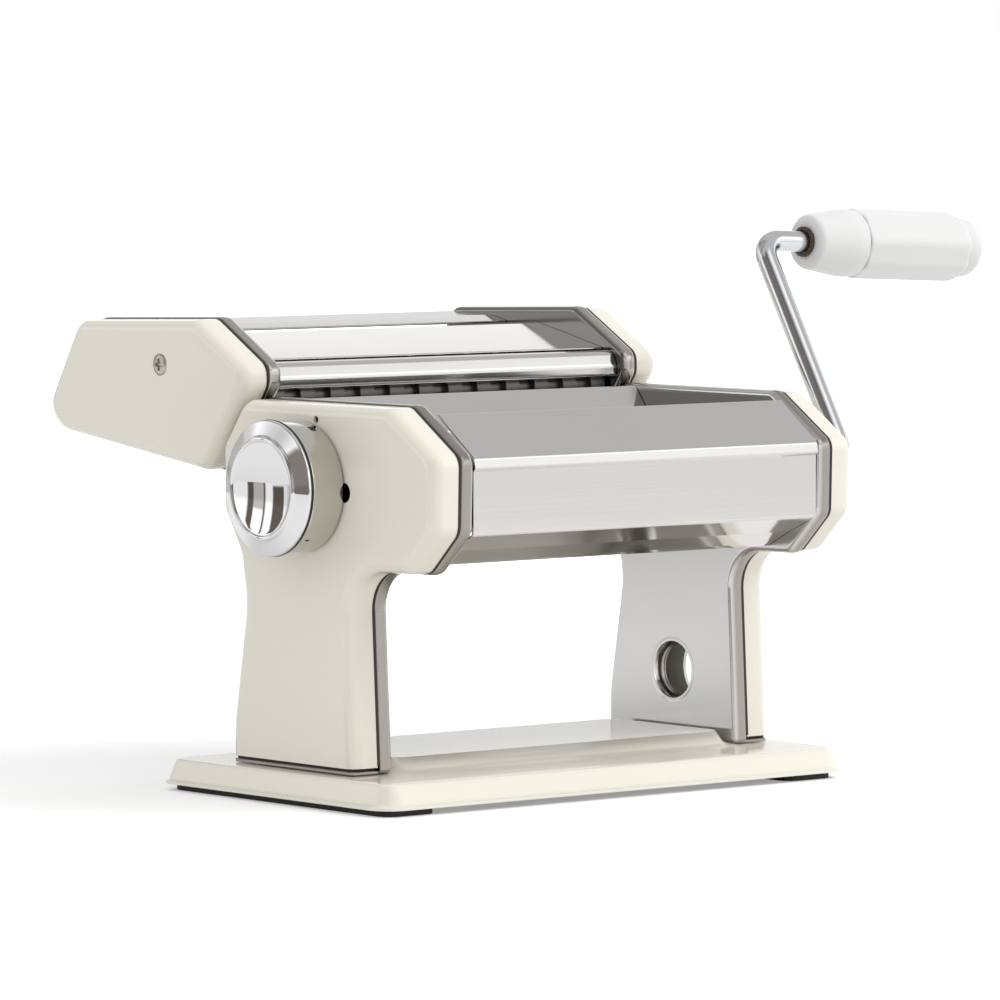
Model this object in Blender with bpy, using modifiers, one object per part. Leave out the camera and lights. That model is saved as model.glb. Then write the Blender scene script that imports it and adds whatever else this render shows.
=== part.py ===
"""Hand-cranked pasta maker: every piece is one closed body.

Sizes are millimetres and angles degrees. X runs along the rollers with the setting knob at -X and the
crank at +X, the front guard faces -Y, and Z is up from the table. The pieces are laid out about the
middle of the base, and at the end all of them are moved so that the origin lies under the middle of
the part's whole box.
"""
import math

import bmesh
import bpy
from mathutils import Matrix, Vector

MM = 0.001
GAP = 0.3                  # clearance between pieces that touch
SHEET = 1.2                # side frames and side covers
THIN = 0.8                 # guard, hopper and cutter sheets
ROUND_STEPS = 3            # straight runs in each rounded plan corner
TURN_STEPS = 32            # facets round a visible turned piece
FINE_STEPS = 14            # facets round a small or hidden turned piece

# Side frames and covers, as distances from the middle plane.
PLATE_IN = 76.0            # face of the frame that looks at the rollers
RIM_OUT = 81.5             # edge of the frame's rim
COVER_IN = 82.1            # open edge of the cover
COVER_OUT = 93.1           # flat outer face of the cover
COVER_BORDER = 4.6         # rounding between the cover's wall and its face
BEND = 1.5                 # rounding between the frame's plate and its rim
FOOT_OUT = 92.5            # edge of the foot that carries the cover
FOOT_Z = 11.1
COVER_Z = 13.3
PLATE_OUT = PLATE_IN + SHEET

# Outline of head and leg: y, z and corner radius.
HEAD_BACK = (28.0, 134.3)
HEAD = [(*HEAD_BACK, 5.6), (-50.9, 134.4, 5.6), (-75.8, 118.1, 5.6), (-75.2, 92.9, 6.0),
        (-60.5, 78.7, 5.6), (-29.7, 78.3, 13.0)]
LEG_FRONT_TOP = (-30.0, 65.0)
LEG_FRONT_FOOT = (-33.3, 10.8)
LEG_BACK_FOOT = (34.4, 10.8)
HEAD_BACK_LOW = (HEAD_BACK[0] + 11.8, HEAD_BACK[1] - 15.8)
LEG_BACK = [(34.4, 25.4, 30.0), (27.8, 64.8, 30.0), (30.6, 80.8, 8.0), (HEAD_BACK_LOW[0], 96.0, 5.6),
            (*HEAD_BACK_LOW, 5.6)]
FOOT_ROUND = 1.5

# Base.
BASE_X = 103.3
BASE_Y = 62.3
BASE_LOW = 2.3
BASE_TOP = 10.8
BASE_ROUND = 9.0
BASE_SLOPE = 3.4
RAISED_TOP = 15.8
RAISED_X = 75.6
RAISED_FRONT = -36.0
RAISED_BACK = 34.0
RAISED_SLOPE = 6.0
RAISED_END = 2.4
BASE_WALL = 1.5
RUBBER_IN = 77.5
RUBBER_OUT = BASE_X - 3.8
RUBBER_Y = BASE_Y - 3.8
RUBBER_TAPER = 2.6

# Smooth rollers.
FRONT_AXIS = (-39.5, 109.0)
REAR_AXIS = (-7.2, 106.0)
ROLLER_R = 15.9
ROLLER_END = 75.0
JOURNAL_R = 5.0
BUSH_R = 7.0
BUSH_FLANGE_R = 9.0
BUSH_OUT = PLATE_OUT + GAP + 1.5
REAR_TRAVEL = 4.2
GEAR_IN = 79.4
GEAR_OUT = 87.4
GEAR_TEETH = 12
GEAR_ROOT = 13.2
GEAR_PITCH = 16.2
GEAR_TIP = 18.6
GEAR_TOOTH = 3.5

# Setting knob.
SHAFT_R = 4.0
CAM_IN = 81.4
CAM_OUT = 84.6
CAM_LOW = 8.0
STUD_R = 2.0
SKIRT_IN = COVER_OUT + 0.8
SKIRT_OUT = 107.4
SKIRT_R = 22.0
KNOB_R = SKIRT_R + 0.8
KNOB_FACE = SKIRT_OUT + 4.6
DISH_R = 16.2
KNOB_BORE = SHAFT_R + GAP
INDEX_RING = 15.0
INDEX_HOLE_R = 1.6

# Crank.
ARM_X = 121.0
ROD_R = 3.8
ARM_TOP = (4.9, 184.1)
ROD_BEND = 8.0
SOCKET_R = 4.2
SOCKET_DEPTH = 17.0
SPINDLE_LEAN = 3.0
GRIP_START = 21.0
NOSE_LONG = 21.0
NOSE_R = 9.0
GRIP_R = 12.1
BARREL_LONG = 48.5
CAP_LONG = 8.2
CAP_R = 10.75
GRIP_TURN = 15.5

# Cutter unit.
WIDE_FRONT = (HEAD_BACK[0] + 15.8, HEAD_BACK[1] - 1.1)
CUT_CORNERS = [(78.0, 25.3, 5.6), (9.8, 27.3, 6.5), (-17.6, 11.6, 5.6), (-17.6, 4.3, 5.6),
               (4.8, -25.5, 5.6), (88.3, -14.6, 9.0), (97.0, -6.3, 6.0)]
CUT = [(WIDE_FRONT[0] + y, WIDE_FRONT[1] + z, r) for y, z, r in CUT_CORNERS]
CUT_PITCH = 8.1
CUT_RIDGE = 9.0
CUT_GROOVE = 6.8
CUT_SIDE = 0.2             # side clearance between the interleaved ridges
WIDE_BACK = (WIDE_FRONT[0] + 2 * CUT_PITCH, WIDE_FRONT[1])
NARROW_FRONT = (WIDE_BACK[0] + 2 * CUT_RIDGE + 2.0, WIDE_FRONT[1] + 2.8)
NARROW_BACK = (NARROW_FRONT[0] + 2 * CUT_PITCH, NARROW_FRONT[1])
WIDE_NOODLE = 6.5
NARROW_NOODLE = 4.0
CUT_JOURNAL_R = 3.5
CUT_GEAR_IN = 79.0
CUT_GEAR_OUT = 85.0
CUT_GEAR_ROOT = 6.6
CUT_GEAR_TIP = 9.3
CUT_GEAR_TOOTH = 1.75
CUT_SHAFT_END = 91.0
SCREW = (WIDE_FRONT[0] + 28.8, WIDE_FRONT[1] + 10.7)
SCREW_R = 3.5
CUT_BACK_SHEET = [(NARROW_BACK[0] + y, NARROW_BACK[1] + CUT_RIDGE + z)
                  for y, z in ((24.8, 11.6), (2.8, 10.8), (-5.7, 8.9))]
CUT_CENTRE_SHEET = [(NARROW_FRONT[0] + y, NARROW_FRONT[1] + CUT_RIDGE + z)
                    for y, z in ((-0.4, 4.0), (-2.0, 8.3), (-8.0, 8.6), (-24.0, 5.2), (-42.2, 1.0))]
CUT_FRONT_BAR = [(WIDE_FRONT[0] + y, WIDE_FRONT[1] + z, r)
                 for y, z, r in ((-8.2, 12.7, 1.6), (-13.6, 10.8, 2.4), (-13.2, 3.4, 2.4), (-9.4, 2.2, 1.6))]
CUT_TIE = (NARROW_BACK[0] + 25.3, NARROW_BACK[1] - 2.0)
COMB_REACH = 2.0
COMB_BACK = 8.0
COMB_DROP = 6.0
TIE_R = 3.5
TIE_CHAMFER = 0.5
TIE_LOW = (22.0, 88.5)
TIE_HIGH = (25.5, 122.5)
GUARD_BACK = -73.9
GUARD_TOP = [(-56.0, 131.2), (-74.5, 117.5), (-74.7, 114.4), (GUARD_BACK, 113.6), (GUARD_BACK, 92.4)]
EAR_RUN = ((-60.4, 86.8), (-51.8, 82.4))
GUARD_END = (-49.2, 81.2)
HOPPER = [(24.6, 131.0), (20.2, 133.4), (9.2, 119.2)]
SCRAPER = 0.6
SCRAPER_DROP = 0.9
SCRAPER_LONG = 17.5

# Clamp hole in the right leg.
CLAMP = (0.0, 34.9)
EYELET_R = 9.1

CREAM = (0.80, 0.77, 0.68, 1.0)
STEEL = (0.62, 0.61, 0.59, 1.0)
BRUSHED = (0.50, 0.49, 0.46, 1.0)
CHROME = (0.80, 0.80, 0.81, 1.0)
ZINC = (0.66, 0.68, 0.69, 1.0)
WHITE = (0.86, 0.85, 0.84, 1.0)
RUBBER = (0.02, 0.02, 0.02, 1.0)
BRASS = (0.68, 0.50, 0.22, 1.0)


def clear_scene():
    for old in list(bpy.data.objects):
        bpy.data.objects.remove(old, do_unlink=True)


def make_collection(name):
    group = bpy.data.collections.new(name)
    bpy.context.scene.collection.children.link(group)
    return group


def make_material(name, colour, roughness, metallic):
    surface = bpy.data.materials.new(name)
    surface.use_nodes = True
    shader = surface.node_tree.nodes["Principled BSDF"]
    shader.inputs["Base Color"].default_value = colour
    shader.inputs["Roughness"].default_value = roughness
    shader.inputs["Metallic"].default_value = metallic
    surface.diffuse_color = colour
    return surface


clear_scene()
PART = make_collection("pasta_maker")
CUTTERS = make_collection("cutters")


def place(name, data, finish, group=PART):
    thing = bpy.data.objects.new(name, data)
    group.objects.link(thing)
    if finish is not None:
        colour, roughness, metallic = finish
        data.materials.clear()
        data.materials.append(make_material("mat_" + name, colour, roughness, metallic))
    return thing


ENAMEL_FINISH = (CREAM, 0.25, 0.0)
STEEL_FINISH = (STEEL, 0.18, 1.0)
BRUSHED_FINISH = (BRUSHED, 0.32, 1.0)
CHROME_FINISH = (CHROME, 0.06, 1.0)
ZINC_FINISH = (ZINC, 0.22, 1.0)
WHITE_FINISH = (WHITE, 0.4, 0.0)
RUBBER_FINISH = (RUBBER, 0.7, 0.0)
BRASS_FINISH = (BRASS, 0.3, 1.0)


def shade(mesh, degrees=32.0):
    mesh.shade_smooth()
    mesh.set_sharp_from_angle(angle=math.radians(degrees))


def add_bevel(thing, width, segments=2, degrees=30.0):
    bevel = thing.modifiers.new("rounding", "BEVEL")
    bevel.width = width * MM
    bevel.segments = segments
    bevel.limit_method = "ANGLE"
    bevel.angle_limit = math.radians(degrees)
    bevel.use_clamp_overlap = False
    bevel.miter_outer = "MITER_SHARP"
    return bevel


def add_solid(thing, thickness, offset=-1.0):
    solid = thing.modifiers.new("sheet", "SOLIDIFY")
    solid.thickness = thickness * MM
    solid.offset = offset
    solid.use_even_offset = True
    solid.use_quality_normals = True
    return solid


def cut(thing, cutter):
    """Take the cutter's volume away from the piece."""
    cutter.hide_render = True
    cutter.display_type = "WIRE"
    hole = thing.modifiers.new("cut_" + cutter.name, "BOOLEAN")
    hole.operation = "DIFFERENCE"
    hole.solver = "EXACT"
    hole.object = cutter


def rounded(corners, steps=ROUND_STEPS):
    """Round each (y, z, radius) corner of a closed outline with an arc tangent to both sides."""
    points = []
    count = len(corners)
    for i in range(count):
        here = Vector(corners[i][:2])
        radius = corners[i][2]
        back = (Vector(corners[i - 1][:2]) - here).normalized()
        ahead = (Vector(corners[(i + 1) % count][:2]) - here).normalized()
        half = back.angle(ahead) / 2
        if radius <= 0 or half > math.radians(88):
            points.append((here.x, here.y))
            continue
        middle = here + (back + ahead).normalized() * radius / math.sin(half)
        start = here + back * radius / math.tan(half) - middle
        end = here + ahead * radius / math.tan(half) - middle
        sweep = start.angle_signed(end)
        for k in range(steps + 1):
            turn = Matrix.Rotation(-sweep * k / steps, 2)
            spot = middle + turn @ start
            points.append((spot.x, spot.y))
    return points


def machine_outline(foot_z, foot_round):
    """Outline of head and leg, anticlockwise seen from +X, with the foot at the given height."""
    front = Vector(LEG_FRONT_TOP)
    down = Vector(LEG_FRONT_FOOT) - front
    foot = front + down * (front.y - foot_z) / (front.y - LEG_FRONT_FOOT[1])
    corners = list(HEAD)
    corners.append((foot.x, foot_z, foot_round))
    corners.append((LEG_BACK_FOOT[0], foot_z, foot_round))
    corners.extend(LEG_BACK)
    return rounded(corners)


def pan(name, outline, face_x, edge_x, rounding, segments, finish, foot=None, open_foot=False):
    """A pressed pan: a flat face, a rim square to it, the bend rounded, then made a sheet.

    A foot is a tab that the rim's lowest run carries further out; an open foot has no rim there.
    """
    mesh = bpy.data.meshes.new(name)
    bm = bmesh.new()
    verts = [bm.verts.new((face_x * MM, y * MM, z * MM)) for y, z in outline]
    face = bm.faces.new(verts)
    lowest = min(z for y, z in outline) * MM
    walls = [e for e in face.edges if not open_foot or any(v.co.z - lowest > 1e-6 for v in e.verts)]
    rim = bmesh.ops.extrude_edge_only(bm, edges=walls)
    foot_edges = []
    for part in rim["geom"]:
        if isinstance(part, bmesh.types.BMVert):
            part.co.x = edge_x * MM
        if isinstance(part, bmesh.types.BMEdge):
            if all(abs(v.co.z - lowest) < 1e-6 for v in part.verts):
                foot_edges.append(part)
    if foot is not None:
        longest = max(foot_edges, key=lambda e: e.calc_length())
        tab = bmesh.ops.extrude_edge_only(bm, edges=[longest])
        for part in tab["geom"]:
            if isinstance(part, bmesh.types.BMVert):
                part.co.x = foot * MM
    bmesh.ops.recalc_face_normals(bm, faces=list(bm.faces))
    outward = math.copysign(1.0, face_x - edge_x)
    bm.faces.ensure_lookup_table()
    if bm.faces[0].normal.x * outward < 0:
        bmesh.ops.reverse_faces(bm, faces=list(bm.faces))
    bm.to_mesh(mesh)
    bm.free()
    thing = place(name, mesh, finish)
    add_bevel(thing, rounding, segments, 40.0)
    add_solid(thing, SHEET)
    shade(mesh)
    return thing


def flat(name, loops, x_from, x_to, finish, centre=(0.0, 0.0), rounding=0.0, group=PART):
    """A flat piece square to X: closed outlines filled as one 2D curve and given thickness."""
    curve = bpy.data.curves.new(name + "_outline", "CURVE")
    curve.dimensions = "2D"
    curve.fill_mode = "BOTH"
    curve.extrude = abs(x_to - x_from) / 2 * MM
    for loop in loops:
        line = curve.splines.new("POLY")
        line.points.add(len(loop) - 1)
        for point, (y, z) in zip(line.points, loop):
            point.co = (y * MM, z * MM, 0.0, 1.0)
        line.use_cyclic_u = True
    source = bpy.data.objects.new(name + "_source", curve)
    bpy.context.scene.collection.objects.link(source)
    mesh = settle(source)
    mesh.name = name
    thing = place(name, mesh, finish, group)
    thing.rotation_euler = (math.radians(90), 0.0, math.radians(90))
    thing.location = ((x_from + x_to) / 2 * MM, centre[0] * MM, centre[1] * MM)
    if rounding > 0:
        add_bevel(thing, rounding, 1, 45.0)
    shade(mesh)
    return thing


def settle(source):
    """Turn a curve or a modified object into a plain closed mesh and drop the source."""
    bpy.context.view_layer.update()
    graph = bpy.context.evaluated_depsgraph_get()
    mesh = bpy.data.meshes.new_from_object(source.evaluated_get(graph))
    bm = bmesh.new()
    bm.from_mesh(mesh)
    bmesh.ops.remove_doubles(bm, verts=list(bm.verts), dist=1e-6)
    bmesh.ops.recalc_face_normals(bm, faces=list(bm.faces))
    bm.to_mesh(mesh)
    bm.free()
    bpy.data.objects.remove(source, do_unlink=True)
    return mesh


def turned(name, profile, axis, finish, steps=TURN_STEPS, closed=False, group=PART):
    """A turned piece along X from (radius, x) pairs that run down the outer side."""
    mesh = bpy.data.meshes.new(name)
    count = len(profile)
    edges = [(i, i + 1) for i in range(count - 1)]
    if closed:
        edges.append((count - 1, 0))
    mesh.from_pydata([(r * MM, 0.0, x * MM) for r, x in profile], edges, [])
    thing = place(name, mesh, finish, group)
    spin = thing.modifiers.new("turning", "SCREW")
    spin.steps = steps
    spin.render_steps = steps
    spin.use_merge_vertices = True
    spin.merge_threshold = 0.00001
    spin.use_normal_calculate = False
    spin.use_smooth_shade = True
    thing.rotation_euler = (0.0, math.radians(90), 0.0)
    thing.location = (0.0, axis[0] * MM, axis[1] * MM)
    return thing


def drill(name, radius, x_from, x_to, axis, steps=24):
    """A round cutter along X."""
    profile = [(0.0, max(x_from, x_to)), (radius, max(x_from, x_to)),
               (radius, min(x_from, x_to)), (0.0, min(x_from, x_to))]
    return turned(name, profile, axis, None, steps, group=CUTTERS)


def slot(name, start, end, radius, x_from, x_to):
    """A cutter with round ends along X, from one (y, z) centre to the other."""
    a = Vector(start)
    b = Vector(end)
    along = (b - a).normalized()
    base = math.atan2(along.y, along.x)
    points = []
    for centre, first in ((b, -90), (a, 90)):
        for k in range(9):
            angle = base + math.radians(first + 180 * k / 8)
            points.append((centre.x + radius * math.cos(angle), centre.y + radius * math.sin(angle)))
    return flat(name, [points], x_from, x_to, None, group=CUTTERS)


def sheet(name, profile, half_x, finish, thickness=THIN, bend=1.2, offset=-1.0, ears=None):
    """A folded sheet between the side plates, from its (y, z) section; ears are (run, reach)."""
    mesh = bpy.data.meshes.new(name)
    bm = bmesh.new()
    rows = []
    for y, z in profile:
        rows.append([bm.verts.new((x * MM, y * MM, z * MM)) for x in (-half_x, half_x)])
    for low, high in zip(rows, rows[1:]):
        bm.faces.new((low[0], low[1], high[1], high[0]))
    if ears is not None:
        run, reach = ears
        for side in (0, 1):
            edge = bm.edges.get((rows[run][side], rows[run + 1][side]))
            new = bmesh.ops.extrude_edge_only(bm, edges=[edge])
            for part in new["geom"]:
                if isinstance(part, bmesh.types.BMVert):
                    part.co.x = math.copysign(reach * MM, part.co.x)
    bm.to_mesh(mesh)
    bm.free()
    thing = place(name, mesh, finish)
    add_bevel(thing, bend, 2, 12.0)
    add_solid(thing, thickness, offset)
    shade(mesh)
    return thing


def loft(name, rings, finish):
    """A closed body through rings with equal point counts, capped at both ends."""
    mesh = bpy.data.meshes.new(name)
    bm = bmesh.new()
    rows = [[bm.verts.new((x * MM, y * MM, z * MM)) for x, y, z in points] for points in rings]
    count = len(rows[0])
    for low, high in zip(rows, rows[1:]):
        for i in range(count):
            j = (i + 1) % count
            bm.faces.new((low[i], low[j], high[j], high[i]))
    bm.faces.new(list(reversed(rows[0])))
    bm.faces.new(rows[-1])
    bmesh.ops.recalc_face_normals(bm, faces=list(bm.faces))
    bm.to_mesh(mesh)
    bm.free()
    thing = place(name, mesh, finish)
    shade(mesh, 40.0)
    return thing


def box_ring(x_low, x_high, y_low, y_high, radius, z, steps=5):
    """A rounded rectangle at height z, with the same number of points for every size."""
    corners = [(x_low, y_low, radius), (x_high, y_low, radius), (x_high, y_high, radius),
               (x_low, y_high, radius)]
    return [(x, y, z) for x, y in rounded(corners, steps)]


def gear_loop(teeth, root, pitch, tip, thickness, turn):
    """Outline of a gear about (0, 0); turn is the angle of the first tooth's middle."""
    points = []
    half_pitch = thickness / 2 / pitch
    flare = 1.45
    narrow = 0.52
    for k in range(teeth):
        middle = turn + 2 * math.pi * k / teeth
        sides = [(root, -flare * half_pitch), (pitch, -half_pitch), (tip, -narrow * half_pitch),
                 (tip, narrow * half_pitch), (pitch, half_pitch), (root, flare * half_pitch)]
        for radius, angle in sides:
            points.append((radius * math.cos(middle + angle), radius * math.sin(middle + angle)))
    return points


def circle_loop(radius, steps=FINE_STEPS):
    return [(radius * math.cos(2 * math.pi * k / steps), radius * math.sin(2 * math.pi * k / steps))
            for k in range(steps)]


def bent_path(points, radius, steps=4):
    """Points of a path whose inner corners are rounded to the bend radius."""
    path = [Vector(points[0])]
    for i in range(1, len(points) - 1):
        here = Vector(points[i])
        back = (Vector(points[i - 1]) - here).normalized()
        ahead = (Vector(points[i + 1]) - here).normalized()
        half = back.angle(ahead) / 2
        reach = radius / math.tan(half)
        middle = here + (back + ahead).normalized() * radius / math.sin(half)
        start = here + back * reach - middle
        end = here + ahead * reach - middle
        turn = start.angle(end)
        spin_axis = start.cross(end).normalized()
        for k in range(steps + 1):
            path.append(middle + Matrix.Rotation(turn * k / steps, 3, spin_axis) @ start)
    path.append(Vector(points[-1]))
    return path


def tube(name, path, radius, finish, origin, resolution=4):
    """A round rod along a path, with flat closed ends and its origin where it turns."""
    curve = bpy.data.curves.new(name + "_path", "CURVE")
    curve.dimensions = "3D"
    curve.bevel_depth = radius * MM
    curve.bevel_resolution = resolution
    curve.use_fill_caps = True
    line = curve.splines.new("POLY")
    line.points.add(len(path) - 1)
    for point, spot in zip(line.points, path):
        point.co = ((spot.x - origin[0]) * MM, (spot.y - origin[1]) * MM, (spot.z - origin[2]) * MM, 1.0)
    source = bpy.data.objects.new(name + "_source", curve)
    bpy.context.scene.collection.objects.link(source)
    mesh = settle(source)
    mesh.name = name
    thing = place(name, mesh, finish)
    thing.location = (origin[0] * MM, origin[1] * MM, origin[2] * MM)
    shade(mesh)
    return thing


# Base and its rubber.
def base_rings(shift):
    """Rings of the pressed base from its middle outwards; shift is how far inside the skin."""
    top = BASE_TOP - shift
    raised = RAISED_TOP - shift
    rings = []
    inner_x = RAISED_X - RAISED_END - shift
    inner_front = RAISED_FRONT + RAISED_SLOPE + shift
    inner_back = RAISED_BACK - RAISED_SLOPE - shift
    rings.append(box_ring(-inner_x, inner_x, inner_front, inner_back, 7.0 - shift, raised))
    foot_x = RAISED_X - shift
    foot_front = RAISED_FRONT + shift / 2
    foot_back = RAISED_BACK - shift / 2
    rings.append(box_ring(-foot_x, foot_x, foot_front, foot_back, 12.0 - shift, top))
    for inset, drop in ((BASE_SLOPE + 1.6, 0.0), (BASE_SLOPE + 0.5, 0.4), (BASE_SLOPE - 0.1, 1.5),
                        (1.5, 6.4), (1.0, 7.3)):
        x = BASE_X - inset - shift
        y = BASE_Y - inset - shift
        rings.append(box_ring(-x, x, -y, y, BASE_ROUND - inset - shift, top - drop))
    return rings


def make_base():
    rings = base_rings(0.0)
    for z in (BASE_LOW + 0.9, BASE_LOW):
        rings.append(box_ring(-BASE_X, BASE_X, -BASE_Y, BASE_Y, BASE_ROUND, z))
    inner = base_rings(BASE_WALL)
    x = BASE_X - 1.0 - BASE_WALL
    y = BASE_Y - 1.0 - BASE_WALL
    rings.append(box_ring(-x, x, -y, y, BASE_ROUND - 1.0 - BASE_WALL, BASE_LOW))
    rings.extend(reversed(inner[:-1]))
    loft("base_plate", rings, ENAMEL_FINISH)


def make_rubber(side, name):
    low_x = side * RUBBER_IN
    high_x = side * RUBBER_OUT
    narrow_x = side * (RUBBER_OUT - RUBBER_TAPER)
    top = BASE_TOP - BASE_WALL - GAP
    narrow_y = RUBBER_Y - RUBBER_TAPER

    def strip(edge_x, half_y, z, radius):
        return box_ring(min(low_x, edge_x), max(low_x, edge_x), -half_y, half_y, radius, z, 3)

    rings = [strip(high_x, RUBBER_Y, 0.0, 5.0), strip(high_x, RUBBER_Y, BASE_LOW + 1.0, 5.0),
             strip(narrow_x, narrow_y, top, 4.0)]
    loft(name, rings, RUBBER_FINISH)


make_base()
make_rubber(-1, "rubber_strip_left")
make_rubber(1, "rubber_strip_right")

# Side frames and covers.
frame_outline = machine_outline(FOOT_Z, FOOT_ROUND)
cover_outline = machine_outline(COVER_Z, 0.0)
frames = {}
covers = {}
for side, end in ((-1, "left"), (1, "right")):
    frame = pan("side_frame_" + end, frame_outline, side * PLATE_IN, side * RIM_OUT, BEND, 2,
                STEEL_FINISH, foot=side * FOOT_OUT)
    cover = pan("side_cover_" + end, cover_outline, side * COVER_OUT, side * COVER_IN, COVER_BORDER, 2,
                ENAMEL_FINISH, open_foot=True)
    through = (side * (PLATE_IN - 2.0), side * (PLATE_OUT + 1.2))
    cut(frame, drill("cut_front_bush_" + end, BUSH_R + GAP, *through, FRONT_AXIS))
    far = (REAR_AXIS[0] + REAR_TRAVEL, REAR_AXIS[1])
    cut(frame, slot("cut_rear_slot_" + end, REAR_AXIS, far, BUSH_R + GAP, *through))
    cut(frame, slot("cut_ear_" + end, EAR_RUN[0], EAR_RUN[1], THIN / 2 + GAP, *through))
    frames[end] = frame
    covers[end] = cover

EYELET_TUBE = EYELET_R + 0.6
cut(frames["right"], drill("cut_clamp_frame", EYELET_TUBE + GAP, PLATE_IN - 2, PLATE_OUT + 2, CLAMP))
cut(covers["right"], drill("cut_clamp_cover", EYELET_R + 1.6, COVER_OUT - 4, COVER_OUT + 4, CLAMP))
cut(covers["right"], drill("cut_crank_cover", ROD_R + 2.4, COVER_OUT - 4, COVER_OUT + 4, FRONT_AXIS))
cut(covers["left"], drill("cut_knob_cover", INDEX_RING + 4.0, -COVER_OUT - 4, -COVER_OUT + 4, REAR_AXIS, 32))
for name, angle in (("cut_index_top", 15.0), ("cut_index_front", 93.0)):
    turn = math.radians(angle)
    spot = (REAR_AXIS[0] - SKIRT_R * 1.06 * math.sin(turn), REAR_AXIS[1] + SKIRT_R * 1.06 * math.cos(turn))
    cut(covers["left"], drill(name, 1.5, -COVER_OUT - 4, -COVER_OUT + 4, spot, 12))

lip_in = PLATE_IN - GAP - 0.7
lip_out = PLATE_OUT + GAP + 0.7
turned("clamp_eyelet", [(EYELET_TUBE, lip_out), (EYELET_R + 2.0, lip_out), (EYELET_R + 2.0, PLATE_OUT + GAP),
                        (EYELET_TUBE, PLATE_OUT + GAP), (EYELET_TUBE, PLATE_IN - GAP),
                        (EYELET_R + 1.6, PLATE_IN - GAP), (EYELET_R + 1.5, lip_in),
                        (EYELET_R + 0.5, lip_in - 0.4), (EYELET_R, lip_in), (EYELET_R, lip_out)],
       CLAMP, BRUSHED_FINISH, 20, closed=True)

# Sheets between the frames.
sheet("front_guard", [*GUARD_TOP, *EAR_RUN, GUARD_END], PLATE_IN - GAP, STEEL_FINISH, THIN, 0.5, 0.0,
      ears=(5, PLATE_OUT + 0.5))
sheet("rear_hopper", HOPPER, PLATE_IN - GAP, STEEL_FINISH, THIN, 0.8, 0.0)


def tie_rod(name, spot):
    """A round bar between the side plates, chamfered at both ends."""
    reach = PLATE_IN - GAP
    small = TIE_R - TIE_CHAMFER
    turned(name, [(0.0, reach), (small, reach), (TIE_R, reach - TIE_CHAMFER), (TIE_R, TIE_CHAMFER - reach),
                  (small, -reach), (0.0, -reach)], spot, ZINC_FINISH, FINE_STEPS)


def scraper(name, axis, way):
    """A strip that starts under a smooth roller, runs level away from it and turns up."""
    level = axis[1] - ROLLER_R - SCRAPER_DROP
    start = axis[0] - way
    bend = start + way * SCRAPER_LONG
    rise = SCRAPER_LONG / 3
    sheet(name, [(start, level), (bend, level), (bend + way * rise, level + rise)], PLATE_IN - GAP,
          BRUSHED_FINISH, SCRAPER, THIN, 0.0)


tie_rod("tie_rod_low", TIE_LOW)
tie_rod("tie_rod_high", TIE_HIGH)
scraper("roller_scraper_front", FRONT_AXIS, -1.0)
scraper("roller_scraper_rear", REAR_AXIS, 1.0)

# Smooth rollers, their bushes and gears.
mesh_angle = math.atan2(REAR_AXIS[1] - FRONT_AXIS[1], REAR_AXIS[0] - FRONT_AXIS[0])


def roller_profile(left_end, right_end, socket):
    profile = [(0.0, right_end)]
    if socket > 0:
        profile = [(0.0, right_end - socket), (SOCKET_R, right_end - socket), (SOCKET_R, right_end)]
    journal = JOURNAL_R + (0.8 if socket > 0 else 0.0)
    profile.extend([(journal, right_end), (journal, ROLLER_END), (ROLLER_R - 0.5, ROLLER_END),
                    (ROLLER_R, ROLLER_END - 0.5), (ROLLER_R, 0.5 - ROLLER_END),
                    (ROLLER_R - 0.5, -ROLLER_END), (JOURNAL_R, -ROLLER_END), (JOURNAL_R, left_end),
                    (0.0, left_end)])
    return profile


CRANK_JOURNAL_R = JOURNAL_R + 0.8
SHAFT_OUT = 91.0
turned("front_roller", roller_profile(-BUSH_OUT - 0.6, SHAFT_OUT, SOCKET_DEPTH), FRONT_AXIS, STEEL_FINISH,
       24)
turned("rear_roller", roller_profile(-BUSH_OUT - 0.6, GEAR_OUT + 0.6, 0.0), REAR_AXIS, STEEL_FINISH, 24)


def bush_profile(bore, side):
    shoulder, end = side * (PLATE_OUT + GAP), side * (PLATE_IN - GAP)
    profile = [(bore, side * BUSH_OUT), (BUSH_FLANGE_R, side * BUSH_OUT), (BUSH_FLANGE_R, shoulder),
               (BUSH_R, shoulder), (BUSH_R, end), (bore, end)]
    if side < 0:
        profile.reverse()
    return profile


turned("front_bush_left", bush_profile(JOURNAL_R + GAP, -1), FRONT_AXIS, BRASS_FINISH, 12, closed=True)
turned("front_bush_right", bush_profile(CRANK_JOURNAL_R + GAP, 1), FRONT_AXIS, BRASS_FINISH, 12, closed=True)
turned("rear_bush_right", bush_profile(JOURNAL_R + GAP, 1), REAR_AXIS, BRASS_FINISH, 12, closed=True)
gear_args = (GEAR_TEETH, GEAR_ROOT, GEAR_PITCH, GEAR_TIP, GEAR_TOOTH)
flat("front_roller_gear", [gear_loop(*gear_args, mesh_angle), circle_loop(CRANK_JOURNAL_R + GAP)],
     GEAR_IN, GEAR_OUT, BRUSHED_FINISH, FRONT_AXIS)
flat("rear_roller_gear", [gear_loop(*gear_args, mesh_angle + math.pi + math.pi / GEAR_TEETH),
                          circle_loop(JOURNAL_R + GAP)], GEAR_IN, GEAR_OUT, BRUSHED_FINISH, REAR_AXIS)

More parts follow.
